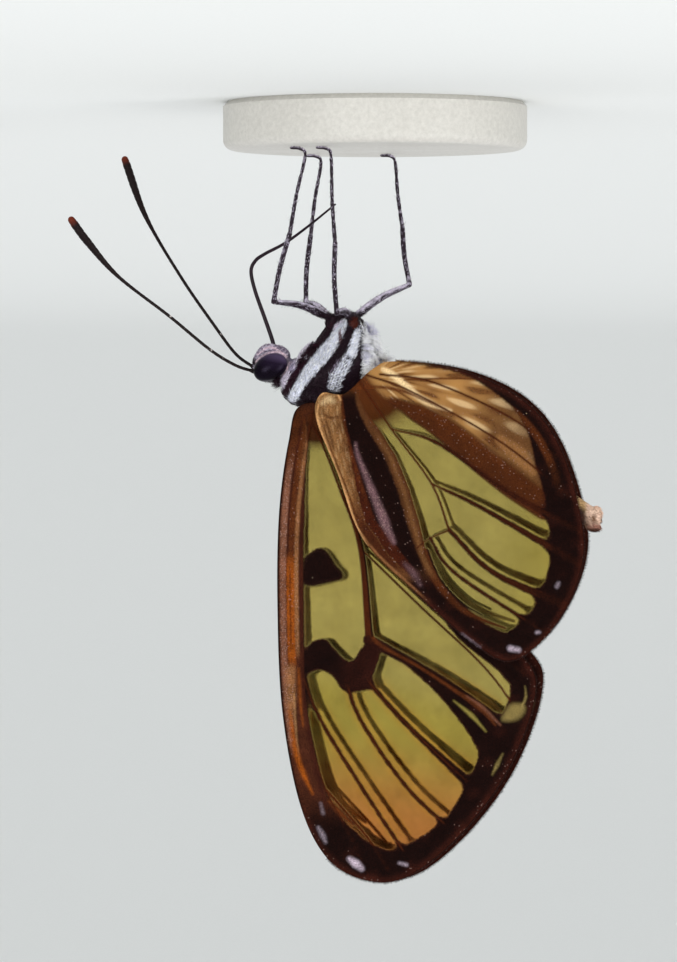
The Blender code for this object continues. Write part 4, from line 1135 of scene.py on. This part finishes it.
def body_colours(points):
    """Return the skin's and the coat's colour at each point of the body."""
    x, y, z = points.T
    side_view = points[:, [0, 2]]
    colour = np.tile(BODY_DARK, (len(points), 1))

    def lay(mask, value):
        nonlocal colour
        colour = colour * (1 - mask[:, None]) + value * mask[:, None]

    def wave(slant, pitch, phase=0.0):
        return ripple(side_view + y[:, None] * slant, pitch, phase)

    ragged = 0.06 * wave(0.3, 0.13) + 0.075 * wave(-0.2, 0.055, 1.3)
    trunk = ease(-2.9, -2.7, x)
    for line, halves, value in THORAX_STRIPES:
        outside, _ = stroke(side_view, line, halves)
        flank = ease(0.12, 0.4, np.abs(y)) if value is BODY_WHITE else 1.0
        lay(filled(outside + ragged, 0.06) * trunk * flank, value)
    speckled = ease(15.8, 16.8, z) * ease(1.0, 0.2, x) * ease(-1.9, -1.2, x) * trunk
    lay(speckled * ease(0.0, 0.35, wave(0.4, 0.085)) * 0.85, BODY_DARK)
    head = ease(2.75, 2.9, x) * ease(17.5, 17.3, z)
    cap = head * ease(16.5, 16.0, z + 0.25 * (x - 4.0))
    lay(cap, BODY_GREY)
    lay(cap * ease(-0.15, 0.4, wave(0.5, 0.1)) * 0.85, BODY_PINK)
    outside, _ = stroke(side_view, [(3.0, 16.0), (3.5, 15.5), (4.1, 15.35), (4.75, 15.8)],
                        (0.04, 0.05, 0.05, 0.04))
    lay(head * filled(outside, 0.05) * 0.8, RIM_PINK)
    turn = math.radians(EYE_TILT)
    along = (x - EYE_CENTRE[0]) * math.cos(turn) - (z - EYE_CENTRE[2]) * math.sin(turn)
    aside = (x - EYE_CENTRE[0]) * math.sin(turn) + (z - EYE_CENTRE[2]) * math.cos(turn)
    ring = np.abs(np.hypot(along / EYE_RADII[0], aside / EYE_RADII[2]) - 1.09) - HEAD_RIM_HALF
    lay(head * filled(ring, 0.04) * ease(0.35, 0.5, np.abs(y)), RIM_PINK)
    neck = ease(1.9, 2.3, x) * ease(3.3, 3.1, x) * ease(18.3, 17.9, z + 0.4 * (x - 2.8))
    lay(neck * (1 - cap) * ease(0.3, 0.7, wave(0.4, 0.1)) * 0.45, BODY_DARK)
    tail = ease(-2.75, -3.2, x) * ease(14.0, 15.0, z)
    lay(tail, ABDOMEN_DARK)
    line, _ = smooth_line([(px, pz) for px, _, pz in ABDOMEN_ROUTE], 0.3)
    above = z - np.interp(x, line[::-1, 0], line[::-1, 1])
    lay(tail * ease(0.1, -0.35, above + 0.15 * wave(0.0, 0.5)), ABDOMEN_PALE)
    segment = ((-2.0 - x) / 14.5 * ABDOMEN_SEGMENTS) % 1.0
    lay(tail * ease(0.72, 0.95, segment) * ease(-15.9, -15.5, x) * 0.45, ABDOMEN_DARK)
    end = tail * ease(-15.6, -15.9, x)
    lay(end, TAIL_PEACH)
    # Painted shade of the opening at the tail's tip: a brown patch, a dark slit between the
    # claspers and a soft brown shadow beside them
    lay(end * filled(np.hypot(x + 16.2, 0.7 * (z - 26.05)) - 0.16, 0.14), TAIL_OPENING_SHADE)
    lay(end * ease(0.2, 0.08, np.abs(y)) * ease(25.7, 26.0, z) * ease(-16.4, -16.6, x),
        ABDOMEN_DARK)
    lay(end * ease(-16.1, -15.8, x) * ease(25.6, 26.0, z) * 0.6, TAIL_OPENING_SHADE)
    lay(end * ease(26.2, 26.5, z + 0.08 * wave(0.0, 0.2)), TAIL_BROWN)
    lay(end * ease(26.55, 26.75, z), ABDOMEN_DARK)
    return colour


def leg_share(points):
    """Return 1 on the legs and 0 on the trunk."""
    x, y, z = points.T
    return np.maximum(ease(13.4, 13.1, z), ease(2.0, 2.2, np.abs(y)))


def skin_colours(points, normals):
    """Return the skin's colours, with the legs' own: dark, and pale below."""
    colour = body_colours(points)
    legs = leg_share(points)[:, None]
    pale = ease(0.1, 0.7, -normals[:, 2] + 0.35 * ripple(points[:, [0, 2]], 0.3))[:, None]
    limb = LEG_DARK * (1 - pale) + LEG_PALE * pale
    return colour * (1 - legs) + limb * legs


def skin_finish():
    """Chitin under small scales: uneven, matt, with a faint gloss on the ridges."""
    finish = Finish("body_skin", IOR=1.5, Specular_IOR_Level=0.2)
    scales = finish.cells(BODY_SCALES)["Distance"]
    shade = finish.product(finish.ranged(scales, 0.0, 0.8, 1.15, 0.65),
                           finish.cloud(3000.0, 0.7, 1.25, 4.0))
    colour = finish.attribute("skin_colour", "Color")
    finish.join(finish.mixed(1.0, colour, finish.grey(shade), "MULTIPLY"), "Base Color")
    finish.join(finish.cloud(900.0, 0.45, 0.7), "Roughness")
    finish.bump(scales, 0.5, COARSE_BUMP)
    return finish.made


FLESH_NODES = ["thorax", "collar", "head", "abdomen", "palp_left", "palp_right",
               "foreleg_left", "foreleg_right"]
FLESH_NODES += [f"{leg}_{side}_{part}" for leg in ("midleg", "hindleg")
                for side in ("left", "right") for part in ("femur", "tibia", "tarsus")]


def add_skin():
    """Add the fused skin and return its arrays, for the coat to grow on."""
    points, faces, normals = fused(body_parts(), SKIN_VOXEL, SKIN_SMOOTHING)
    mesh = new_mesh("butterfly_skin", points, faces)
    add_colours(mesh, "skin_colour", skin_colours(points, normals))
    add_piece("butterfly_skin", mesh, skin_finish(), "body_scales", *FLESH_NODES)
    return points, faces, normals


# Coat of tufts

TUFT_SIDES = 3
TUFT_TURNS = 2 * math.pi * np.arange(TUFT_SIDES) / TUFT_SIDES
TUFT_PATCH = 0.0015
TUFT_RINGS = ((-0.05, 1.0), (0.45, 0.75))
THORAX_TUFTS = 15000
REAR_HAIRS = 3400
REAR_CLUMPS = 150
NAPE_HAIRS = 420
HEAD_TUFTS = 5200
LEG_TUFTS = 6500
ABDOMEN_TUFTS = 7000


class Coat:
    """Tufts gathered for one piece: tapered, bent blades rooted in the skin."""

    def __init__(self):
        self.batches = []

    def grow(self, roots, normals, ways, lengths, widths, lift, colours, places, flat=0.45):
        """Add tufts that leave the skin by lift and bend over towards their way."""
        ways = ways - normals * np.einsum("ij,ij->i", ways, normals)[:, None]
        ways /= np.maximum(np.linalg.norm(ways, axis=1), 1e-6)[:, None]
        lift = np.broadcast_to(lift, len(roots))[:, None]
        start = normals * lift + ways * (1 - lift)
        end = normals * lift * 0.55 + ways * (1 - lift * 0.55)
        start /= np.linalg.norm(start, axis=1)[:, None]
        end /= np.linalg.norm(end, axis=1)[:, None]
        across = np.cross(normals, ways)
        over = np.cross(start, across)
        corners = []
        for reach, size in TUFT_RINGS:
            bend = 0.5 * max(reach, 0)
            centre = roots + (start * (1 - bend) + end * bend) * (lengths * reach)[:, None]
            for turn in TUFT_TURNS:
                corners.append(centre + 0.5 * (widths * size)[:, None]
                               * (math.cos(turn) * across + flat * math.sin(turn) * over))
        corners.append(roots + (start * 0.5 + end * 0.5) * lengths[:, None])
        self.batches.append((np.stack(corners, 1), colours, places))

    def build(self, name, finish, slot):
        """Make one piece of all the tufts, each on its own small patch of the map."""
        corners, colours, places = (np.concatenate(part) for part in zip(*self.batches))
        count, size = corners.shape[:2]
        side = np.arange(TUFT_SIDES)
        after = (side + 1) % TUFT_SIDES
        high = TUFT_SIDES
        blade = np.concatenate([
            [[0, 2, 1]], np.stack([side, after, high + after], 1),
            np.stack([side, high + after, high + side], 1),
            np.stack([high + side, high + after, np.full(TUFT_SIDES, size - 1)], 1)])
        faces = (blade[None] + np.arange(count)[:, None, None] * size).reshape(-1, 3)
        mesh = new_mesh(name, corners.reshape(-1, 3), faces)
        root_shaded_colours = np.repeat(colours[:, None], size, 1)
        # Painted shade: each tuft's ring at the root is darkened to 0.8 of its colour, where the
        # coat shades it
        root_shaded_colours[:, :TUFT_SIDES] *= 0.8
        add_colours(mesh, "coat_colour", root_shaded_colours.reshape(-1, 3))
        ring = TUFT_PATCH * np.stack([np.cos(TUFT_TURNS), np.sin(TUFT_TURNS)], 1)
        offsets = np.concatenate([ring, ring * 0.6, [[0.0, 0.0]]])
        spots = (places[:, None] + offsets[None]).reshape(-1, 2)
        layer = mesh.uv_layers.new(name="OFBake")
        corners_used = np.empty(len(mesh.loops), np.int32)
        mesh.loops.foreach_get("vertex_index", corners_used)
        layer.data.foreach_set("uv", spots[corners_used].astype(np.float32).ravel())
        add_piece(name, mesh, finish, slot)


def coat_finish(name):
    """Silky scales and hairs in the markings' own colours."""
    finish = Finish(name, IOR=1.45, Specular_IOR_Level=0.2)
    shade = finish.grey(finish.cloud(4000.0, 0.8, 1.15))
    finish.join(finish.mixed(1.0, finish.attribute("coat_colour", "Color"), shade, "MULTIPLY"),
                "Base Color")
    finish.join(finish.cloud(2000.0, 0.4, 0.6), "Roughness")
    return finish.made


def scatter(skin, rng, count, weight):
    """Return random skin spots and normals, thicker where the weight function is higher."""
    points, faces, normals = skin
    corners = points[faces]
    area = np.linalg.norm(np.cross(corners[:, 2] - corners[:, 0], corners[:, 3] - corners[:, 1]),
                          axis=1)
    chance = area * weight(corners.mean(1), normals[faces].mean(1))
    picked = rng.choice(len(faces), count, p=chance / chance.sum())
    across, along = rng.random((2, count, 1))
    mix = [(1 - across) * (1 - along), across * (1 - along), across * along, (1 - across) * along]
    spots = sum(share * corners[picked, index] for index, share in enumerate(mix))
    ways = sum(share * normals[faces[picked, index]] for index, share in enumerate(mix))
    return spots, ways / np.linalg.norm(ways, axis=1)[:, None]


# The skin's unwrap: a box of the map for each part, with the share along it and round it
UNWRAP_BOXES = {"thorax": (0.0, 0.5, -3.0, 3.0), "head": (0.5, 0.5, 2.6, 5.6),
                "abdomen": (0.0, 0.25, -17.2, -2.4), "legs": (0.0, 0.0, 2.8, 14.5),
                "wings": (0.5, 0.0, -18.0, 4.0)}


def unwrap(part, along, round_share):
    """Return places on the map for a part's share along and round it."""
    left, low, start, end = UNWRAP_BOXES[part]
    across = np.clip((along - start) / (end - start), 0.01, 0.99) * 0.46 + 0.02
    return np.stack([left + across, low + 0.02 + 0.2 * np.clip(round_share, 0, 1)], 1)


def unwrap_round(part, spots, middle):
    """Return places on the map by the share along X and the share of a turn about it."""
    share = np.arctan2(spots[:, 1], spots[:, 2] - middle) / (2 * math.pi) + 0.5
    return unwrap(part, spots[:, 0], share)


def shaded(rng, colours, spread=0.18):
    """Vary each tuft's colour a little."""
    return np.clip(colours * (1 + spread * rng.standard_normal((len(colours), 1))), 0.0, 1.0)


def strewn(rng, spots, way, spread):
    """Return a way for every tuft, scattered about the way given."""
    return np.broadcast_to(way, spots.shape) + spread * rng.standard_normal(spots.shape)


def add_coat(skin):
    """Grow the coat of the thorax, head, legs and abdomen, a piece for each."""
    finish = coat_finish("body_coat")
    rng = np.random.default_rng(SEED)

    # Thorax: short scales that lie down and back, long soft hair behind
    coat = Coat()

    def on_trunk(points, normals):
        x, y, z = points.T
        return ease(-2.75, -2.5, x) * ease(3.25, 3.0, x + 0.5 * (17.2 - z)) \
            * (1 - leg_share(points)) * ease(19.2, 18.9, z)

    spots, normals = scatter(skin, rng, THORAX_TUFTS, on_trunk)
    ways = strewn(rng, spots, (-0.57, 0.0, -0.82), 0.3)
    lengths = rng.uniform(0.15, 0.34, THORAX_TUFTS)
    coat.grow(spots, normals, ways, lengths, rng.uniform(0.035, 0.06, THORAX_TUFTS), 0.25,
              shaded(rng, body_colours(spots), 0.22), unwrap_round("thorax", spots, 16.0))

    def at_rear(points, normals):
        x, y, z = points.T
        return ease(-1.5, -2.0, x) * ease(-3.3, -2.9, x) * ease(13.6, 14.3, z) \
            * ease(17.4, 16.8, z) * (1 - leg_share(points))

    # The rear hair falls into clumps that share a way, a length, a painted shade and a lift
    spots, normals = scatter(skin, rng, REAR_HAIRS, at_rear)
    fan = np.stack([np.full(REAR_HAIRS, -0.8), 0.5 * spots[:, 1], (spots[:, 2] - 15.0) * 0.3], 1)
    heads = spots[:REAR_CLUMPS]
    clump = np.argmin(((spots[:, None] - heads[None]) ** 2).sum(-1), axis=1)
    ways = strewn(rng, spots, fan + 0.45 * rng.standard_normal(heads.shape)[clump], 0.14)
    lengths = rng.uniform(0.75, 1.1, REAR_HAIRS) * rng.uniform(0.45, 1.15, REAR_CLUMPS)[clump]
    # Painted shade: some clumps blend towards a darker lavender that stands in for the shadows
    # among the hair
    shade = ease(0.55, 1.0, rng.random((REAR_CLUMPS, 1)))[clump]
    colours = HAIR_WHITE * (1 - shade) + HAIR_SHADOW_LAVENDER * shade
    lift = rng.uniform(0.35, 0.75, REAR_CLUMPS)[clump]
    coat.grow(spots, normals, ways, lengths, rng.uniform(0.03, 0.05, REAR_HAIRS), lift,
              shaded(rng, colours, 0.06), unwrap_round("thorax", spots, 16.0))

    def at_nape(points, normals):
        x, y, z = points.T
        return ease(2.9, 3.0, x) * ease(3.5, 3.35, x) * ease(17.05, 17.2, z) \
            * ease(17.75, 17.5, z) * ease(0.8, 0.6, np.abs(y))

    spots, normals = scatter(skin, rng, NAPE_HAIRS, at_nape)
    ways = strewn(rng, spots, (0.8, 0.0, 0.6), 0.22)
    coat.grow(spots, ways / np.linalg.norm(ways, axis=1)[:, None], normals,
              rng.uniform(0.45, 0.85, NAPE_HAIRS), rng.uniform(0.03, 0.05, NAPE_HAIRS), 0.9,
              shaded(rng, np.tile(BODY_DARK * 1.2, (NAPE_HAIRS, 1))),
              unwrap_round("head", spots, 16.5))
    coat.build("thorax_coat", finish, "body_scales")

    # Head: fine scales, longer on the nape
    coat = Coat()

    def on_head(points, normals):
        x, y, z = points.T
        eye = np.hypot(x - EYE_CENTRE[0], (z - EYE_CENTRE[2]) / 0.72) < 0.95
        front = ease(2.6, 2.9, x + 0.5 * (16.6 - z)) * ease(17.7, 17.4, z)
        return front * (1 - leg_share(points)) * (1 - 0.95 * (eye & (np.abs(y) > 0.5)))

    spots, normals = scatter(skin, rng, HEAD_TUFTS, on_head)
    level = 16.5 - spots[:, 2]
    ways = strewn(rng, spots, np.stack([level * 0 - 1, level * 0, 0.2 * level], 1), 0.35)
    lengths = rng.uniform(0.07, 0.17, HEAD_TUFTS) * (1 + 0.9 * ease(16.9, 17.4, spots[:, 2]))
    greyed = rng.random((HEAD_TUFTS, 1)) < 0.12
    colours = np.where(greyed, BODY_GREY * 1.4, body_colours(spots))
    coat.grow(spots, normals, ways, lengths, rng.uniform(0.022, 0.035, HEAD_TUFTS), 0.4,
              shaded(rng, colours), unwrap_round("head", spots, 16.5))
    coat.build("head_coat", finish, "body_scales")

    # Legs: small pressed scales and a few stiff spines
    coat = Coat()

    def on_legs(points, normals):
        return leg_share(points) * ease(3.05, 3.2, points[:, 2] - 0.25 * normals[:, 2])

    spots, normals = scatter(skin, rng, LEG_TUFTS, on_legs)
    x, y, z = spots.T
    thigh = ease(12.0, 12.6, z)[:, None]
    outward = np.stack([0.3 * np.sign(x), np.sign(y), 0 * x], 1)
    ways = strewn(rng, spots, np.array((0.0, 0.0, -1.0)) * (1 - thigh) + outward * thigh, 0.15)
    stiff = rng.random(LEG_TUFTS) < 0.06
    lengths = np.where(stiff, rng.uniform(0.2, 0.32, LEG_TUFTS),
                       rng.uniform(0.06, 0.13, LEG_TUFTS))
    hind_thigh = ease(-0.9, -1.3, x) * ease(11.0, 11.6, z)
    pale = (rng.random(LEG_TUFTS) < 0.42 + 0.4 * hind_thigh) & ~stiff
    colours = np.where(pale[:, None], LEG_PALE, LEG_DARK)
    places = unwrap("legs", z, np.arctan2(y, x) / (2 * math.pi) + 0.5)
    coat.grow(spots, normals, ways, lengths, np.where(stiff, 0.022, 0.035),
              np.where(stiff, 0.6, 0.15), shaded(rng, colours), places)
    coat.build("leg_coat", finish, "limb_scales")

    # Abdomen: flat scales, longer towards the tail's end
    coat = Coat()

    def on_abdomen(points, normals):
        return ease(-3.0, -3.4, points[:, 0]) * ease(15.0, 15.5, points[:, 2])

    spots, normals = scatter(skin, rng, ABDOMEN_TUFTS, on_abdomen)
    ways = strewn(rng, spots, (-0.82, 0.0, 0.57), 0.12)
    lengths = rng.uniform(0.1, 0.2, ABDOMEN_TUFTS) * (1 + 0.8 * ease(-15.5, -16.4, spots[:, 0]))
    places = unwrap_round("abdomen", spots, 14.5 - 0.8 * spots[:, 0])
    coat.grow(spots, normals, ways, lengths, rng.uniform(0.04, 0.07, ABDOMEN_TUFTS), 0.12,
              shaded(rng, body_colours(spots)), places, flat=0.25)
    coat.build("abdomen_coat", finish, "abdomen_scales")


FRINGE_PITCH = 0.05


def add_fringe():
    """Grow short scales from the outer margins of all four wings, coloured as the margin is."""
    coat = Coat()
    rng = np.random.default_rng(SEED + 1)
    for _, outline, paint, root, offset, swings, (start, end) in WINGS:
        line, shares = smooth_line(outline, FRINGE_PITCH, closed=True)
        line = line[:-1]
        numbers = np.interp(np.arange(len(line)) / len(line), shares, np.arange(len(outline) + 1))
        along = np.roll(line, -1, axis=0) - np.roll(line, 1, axis=0)
        along /= np.linalg.norm(along, axis=1)[:, None]
        kept = (numbers > start) & (numbers < end)
        look = paint(line[kept])
        outward = np.stack([along[kept, 1], -along[kept, 0]], 1)
        for (_, side), swing in zip(SIDES, swings):
            placed = turned(line[kept], swing) + root
            out = turned(outward, swing) + 0.25 * rng.standard_normal(outward.shape)
            height = side * (wing_stand_off(placed, offset) + look.belly)
            count = len(placed)
            roots = np.stack([placed[:, 0], height, placed[:, 1]], 1)
            ways = np.stack([out[:, 0], np.zeros(count), out[:, 1]], 1)
            places = unwrap("wings", placed[:, 0], (placed[:, 1] - 15.0) / 35.0)
            coat.grow(roots, np.tile((0.0, side, 0.0), (count, 1)), ways,
                      rng.uniform(0.09, 0.19, count), rng.uniform(0.04, 0.06, count), 0.0,
                      shaded(rng, look.colour * 0.8), places, flat=0.3)
    coat.build("wing_fringe", coat_finish("wing_fringe_scales"), "body_scales")


# Eyes, feelers and feeding tube

RIGHT_ANTENNA_ROUTE = [(4.7, -0.28, 16.85), (5.1, -0.4, 16.8), (6.15, -0.78, 16.45),
                       (7.7, -1.4, 15.5), (10.2, -2.9, 13.45), (13.3, -4.7, 11.05),
                       (15.17, -5.8, 8.92), (16.12, -6.2, 7.62)]
LEFT_ANTENNA_ROUTE = [(4.7, 0.28, 16.75), (5.1, 0.4, 16.5), (6.15, 0.85, 15.7), (7.5, 1.4, 13.9),
                      (9.6, 2.4, 10.85), (11.85, 3.9, 7.0), (13.2, 4.9, 3.35)]
ANTENNA_RADII = [(0.0, 0.16), (0.02, 0.16), (0.035, 0.1), (0.6, 0.1), (0.7, 0.115), (0.8, 0.18),
                 (0.9, 0.245), (0.98, 0.25), (1.0, 0.22)]
ANTENNA_RINGS = 38
ANTENNA_SIDES = 20
TONGUE_ROUTE = [(3.7, 0.0, 15.4), (3.85, 0.0, 14.8), (4.3, 0.0, 13.5), (4.9, 0.0, 11.8),
                (5.15, 0.0, 10.6), (4.9, 0.0, 9.95), (4.3, 0.0, 9.5), (3.0, 0.0, 8.8),
                (1.5, 0.05, 7.7), (-0.1, 0.1, 6.4)]
TONGUE_RADII = [(0.0, 0.18), (0.5, 0.15), (1.0, 0.08)]
# Painted sheen of the eyes: deep purple, a lighter purple on the lower part, black on the upper
# part
EYE_SHEEN_COLOURS = (srgb(20, 11, 26), srgb(66, 54, 78), srgb(5, 1, 5))
EYE_SLANT = 0.3
EYE_FACETS = 16000.0


def add_eyes():
    """Glazed domes with fine facets, painted with a sheen: lighter purple below, black above."""
    finish = Finish("eye_glaze", IOR=1.5, Specular_IOR_Level=0.12,
                    Specular_Tint=(0.6, 0.5, 0.8, 1.0))
    place = finish.add("SeparateXYZ", {0: finish.place()}).outputs
    lean = finish.maths("ADD", place[2], finish.product(place[0], EYE_SLANT))
    lean = finish.maths("ADD", lean, finish.cloud(700.0, -0.12 * MM, 0.12 * MM, 1.0))
    level = (EYE_CENTRE[2] + EYE_SLANT * EYE_CENTRE[0]) * MM
    # Painted sheen: the eye's lower part turns a lighter purple and its upper part black, as the
    # light fell
    low = finish.ranged(lean, level - 0.75 * MM, level - 0.35 * MM, 1.0, 0.0)
    high = finish.ranged(lean, level - 0.3 * MM, level + 0.15 * MM)
    colour = finish.mixed(low, EYE_SHEEN_COLOURS[0], EYE_SHEEN_COLOURS[1])
    finish.join(finish.mixed(high, colour, EYE_SHEEN_COLOURS[2]), "Base Color")
    facets = finish.cells(EYE_FACETS)["Distance"]
    finish.join(finish.ranged(facets, 0.0, 0.7, 0.2, 0.35), "Roughness")
    finish.bump(facets, 0.15, FINE_BUMP)
    for label, side in SIDES:
        centre = (EYE_CENTRE[0], EYE_CENTRE[1] * side, EYE_CENTRE[2])
        mesh = new_mesh("eye_dome_" + label, *ball(centre, EYE_RADII, EYE_TILT, 48, 64))
        add_piece("eye_dome_" + label, mesh, finish.made, "eye_glaze", "eye_" + label)


def add_antennae():
    """Finely ringed shafts and slim clubs, dark with rusty tips and a few white scales."""
    finish = Finish("feeler", IOR=1.5, Specular_IOR_Level=0.12)
    share = finish.attribute("along")
    shaft = finish.mixed(finish.ranged(finish.noise(2500.0, 2.0), 0.68, 0.72), srgb(22, 12, 12),
                         srgb(170, 160, 156))
    ends = finish.mixed(finish.ranged(share, 0.965, 1.0), srgb(20, 8, 8), srgb(104, 38, 18))
    finish.join(finish.mixed(finish.ranged(share, 0.55, 0.7), shaft, ends), "Base Color")
    finish.join(finish.cloud(3000.0, 0.35, 0.6), "Roughness")
    finish.bump(finish.cells(15000.0)["Distance"], 0.4, FINE_BUMP)

    def radii(shares):
        ring = (shares * ANTENNA_RINGS) % 1.0
        return profile(ANTENNA_RADII, shares) * (1 - 0.07 * np.exp(-((ring - 0.5) / 0.12) ** 2))

    for label, route in (("right", RIGHT_ANTENNA_ROUTE), ("left", LEFT_ANTENNA_ROUTE)):
        points, faces = swept(route, radii, ANTENNA_SIDES, 0.05)
        mesh = new_mesh("feeler_" + label, points, faces)
        rows = (len(points) - 2) // ANTENNA_SIDES
        along = np.append(np.repeat(np.linspace(0.0, 1.0, rows), ANTENNA_SIDES), (0.0, 1.0))
        add_values(mesh, "along", along)
        add_piece("feeler_" + label, mesh, finish.made, "feeler", "antenna_" + label)


def add_tongue():
    """Two fine half tubes side by side."""
    finish = Finish("feeding_tube", IOR=1.5, Specular_IOR_Level=0.15)
    finish.join(finish.mixed(finish.noise(2500.0), srgb(14, 6, 12), srgb(36, 18, 30)),
                "Base Color")
    finish.join(finish.cloud(1500.0, 0.3, 0.5), "Roughness")
    finish.bump(finish.noise(9000.0), 0.4, FINE_BUMP)
    line, _ = smooth_line(TONGUE_ROUTE, 0.1)
    shift = profile(TONGUE_RADII, np.linspace(0, 1, len(line))) * 0.35
    halves = []
    start = 0
    for _, side in SIDES:
        route = line + np.stack([0 * shift, shift * side, 0 * shift], 1)
        points, faces = swept(route, lambda shares: profile(TONGUE_RADII, shares) * 0.75, 14, 0.08)
        halves.append((points, faces + start))
        start += len(points)
    mesh = new_mesh("feeding_tube", *(np.concatenate(part) for part in zip(*halves)))
    add_piece("feeding_tube", mesh, finish.made, "feeler", "proboscis_base", "proboscis_tip")


# Base

BASE_RADIUS = 9.5
BASE_BEVEL = 0.6
BASE_CENTRE_X = -2.6
BASE_CHAMFER = 0.3
BASE_SIDES = 192


def add_base():
    """A turned disc of pale resin with a soft edge."""
    finish = Finish("base_resin", IOR=1.5, Specular_IOR_Level=0.4)
    grain = finish.cloud(3600.0, 0.0, 1.0, 6.0, 0.7)
    finish.join(finish.mixed(grain, srgb(184, 181, 174), srgb(203, 200, 193)), "Base Color")
    finish.join(finish.cloud(300.0, 0.4, 0.6), "Roughness")
    finish.bump(finish.noise(4000.0), 0.2, COARSE_BUMP)
    edge = [(0.05, 0.0), (BASE_RADIUS - BASE_CHAMFER, 0.0), (BASE_RADIUS, BASE_CHAMFER)]
    for turn in np.radians(np.linspace(0.0, 90.0, 9)):
        edge.append((BASE_RADIUS - BASE_BEVEL * (1 - math.cos(turn)),
                     BASE_TOP - BASE_BEVEL * (1 - math.sin(turn))))
    edge += [(BASE_RADIUS * share, BASE_TOP) for share in (0.8, 0.5, 0.2, 0.005)]
    turns = 2 * math.pi * np.arange(BASE_SIDES) / BASE_SIDES
    rings = [np.stack([BASE_CENTRE_X + radius * np.cos(turns), radius * np.sin(turns),
                       np.full(BASE_SIDES, height)], 1) for radius, height in edge]
    mesh = new_mesh("stand_disc", *loft(rings))
    mesh.set_sharp_from_angle(angle=math.radians(35.0))
    add_piece("stand_disc", mesh, finish.made, "base_resin", "stand_base")


# Stage, lights and camera, in metres

FLOOR_RADIUS = 0.6
FLOOR_BEND = 0.4
WALL_TOP = 0.45
FLOOR_SIDES = 96
LAMP_TARGET = (0.0, 0.0, 0.022)
LAMPS = (("key", (0.1, -0.3, 0.03), 0.14, 0.55), ("rear_fill", (-0.26, -0.2, 0.1), 0.16, 0.42),
         ("left_fill", (-0.05, 0.3, 0.5), 0.4, 0.5))


def add_stage():
    """A pale round floor that rises smoothly into a wall all round."""
    bends = np.radians(np.arange(0, 91, 5))
    radii = [0.001, 0.1, 0.35, *(FLOOR_RADIUS + FLOOR_BEND * np.sin(bends)),
             FLOOR_RADIUS + FLOOR_BEND]
    heights = [0.0, 0.0, 0.0, *(FLOOR_BEND - FLOOR_BEND * np.cos(bends)), WALL_TOP]
    turns = 2 * math.pi * np.arange(FLOOR_SIDES) / FLOOR_SIDES
    rings = [np.stack([radius * np.cos(turns), radius * np.sin(turns),
                       np.full(FLOOR_SIDES, height)], 1) for radius, height in zip(radii, heights)]
    step = np.arange(FLOOR_SIDES)
    after = (step + 1) % FLOOR_SIDES
    faces = [np.stack([high + step, high + after, high - FLOOR_SIDES + after,
                       high - FLOOR_SIDES + step], 1)
             for high in range(FLOOR_SIDES, len(rings) * FLOOR_SIDES, FLOOR_SIDES)]
    mesh = new_mesh("studio_floor", np.concatenate(rings) / MM, np.concatenate(faces))
    finish = Finish("studio_paper", Roughness=0.9)
    grain = finish.cloud(4000.0, 0.0, 1.0, 2.0)
    finish.join(finish.mixed(grain, (0.73, 0.74, 0.72), (0.75, 0.76, 0.74)), "Base Color")
    mesh.materials.append(finish.made)
    add_item("studio_floor", mesh)


def add_lights():
    """Light softly from all round, and from three round lamps aimed at the middle."""
    world = bpy.data.worlds.new("soft_world")
    bpy.context.scene.world = world
    world.use_nodes = True
    sky = world.node_tree.nodes["Background"].inputs
    sky["Color"].default_value = (0.95, 0.97, 1.0, 1.0)
    sky["Strength"].default_value = 0.95
    for name, place, size, power in LAMPS:
        light = bpy.data.lights.new(name, "AREA")
        light.shape = "DISK"
        light.size = size
        light.energy = power
        item = add_item(name, light)
        item.location = place
        aim = Vector(LAMP_TARGET) - Vector(place)
        item.rotation_euler = aim.to_track_quat("-Z", "Y").to_euler()


def add_camera():
    """Look from the butterfly's right, rolled over, as the hanging one was photographed."""
    data = bpy.data.cameras.new("camera")
    camera = add_item("camera", data)
    bpy.context.scene.camera = camera
    across = (ORIGIN_PIXEL[0] - PHOTO_WIDTH / 2) / PIXELS_PER_MM
    up = (PHOTO_HEIGHT / 2 - ORIGIN_PIXEL[1]) / PIXELS_PER_MM
    place = Matrix.Translation((across * MM, -CAMERA_DISTANCE * MM, up * MM))
    roll = Matrix.Rotation(math.pi, 4, "Y")
    camera.matrix_world = place @ roll @ Matrix.Rotation(math.pi / 2, 4, "X")
    data.sensor_fit = "VERTICAL"
    data.sensor_height = SENSOR_HEIGHT
    data.lens = SENSOR_HEIGHT * CAMERA_DISTANCE / (PHOTO_HEIGHT / PIXELS_PER_MM)
    data.clip_start = 0.01


def main():
    add_camera()
    add_stage()
    add_lights()
    add_wings()
    add_coat(add_skin())
    add_fringe()
    add_eyes()
    add_antennae()
    add_tongue()
    add_base()
    bpy.context.scene.view_settings.view_transform = "Standard"


main()
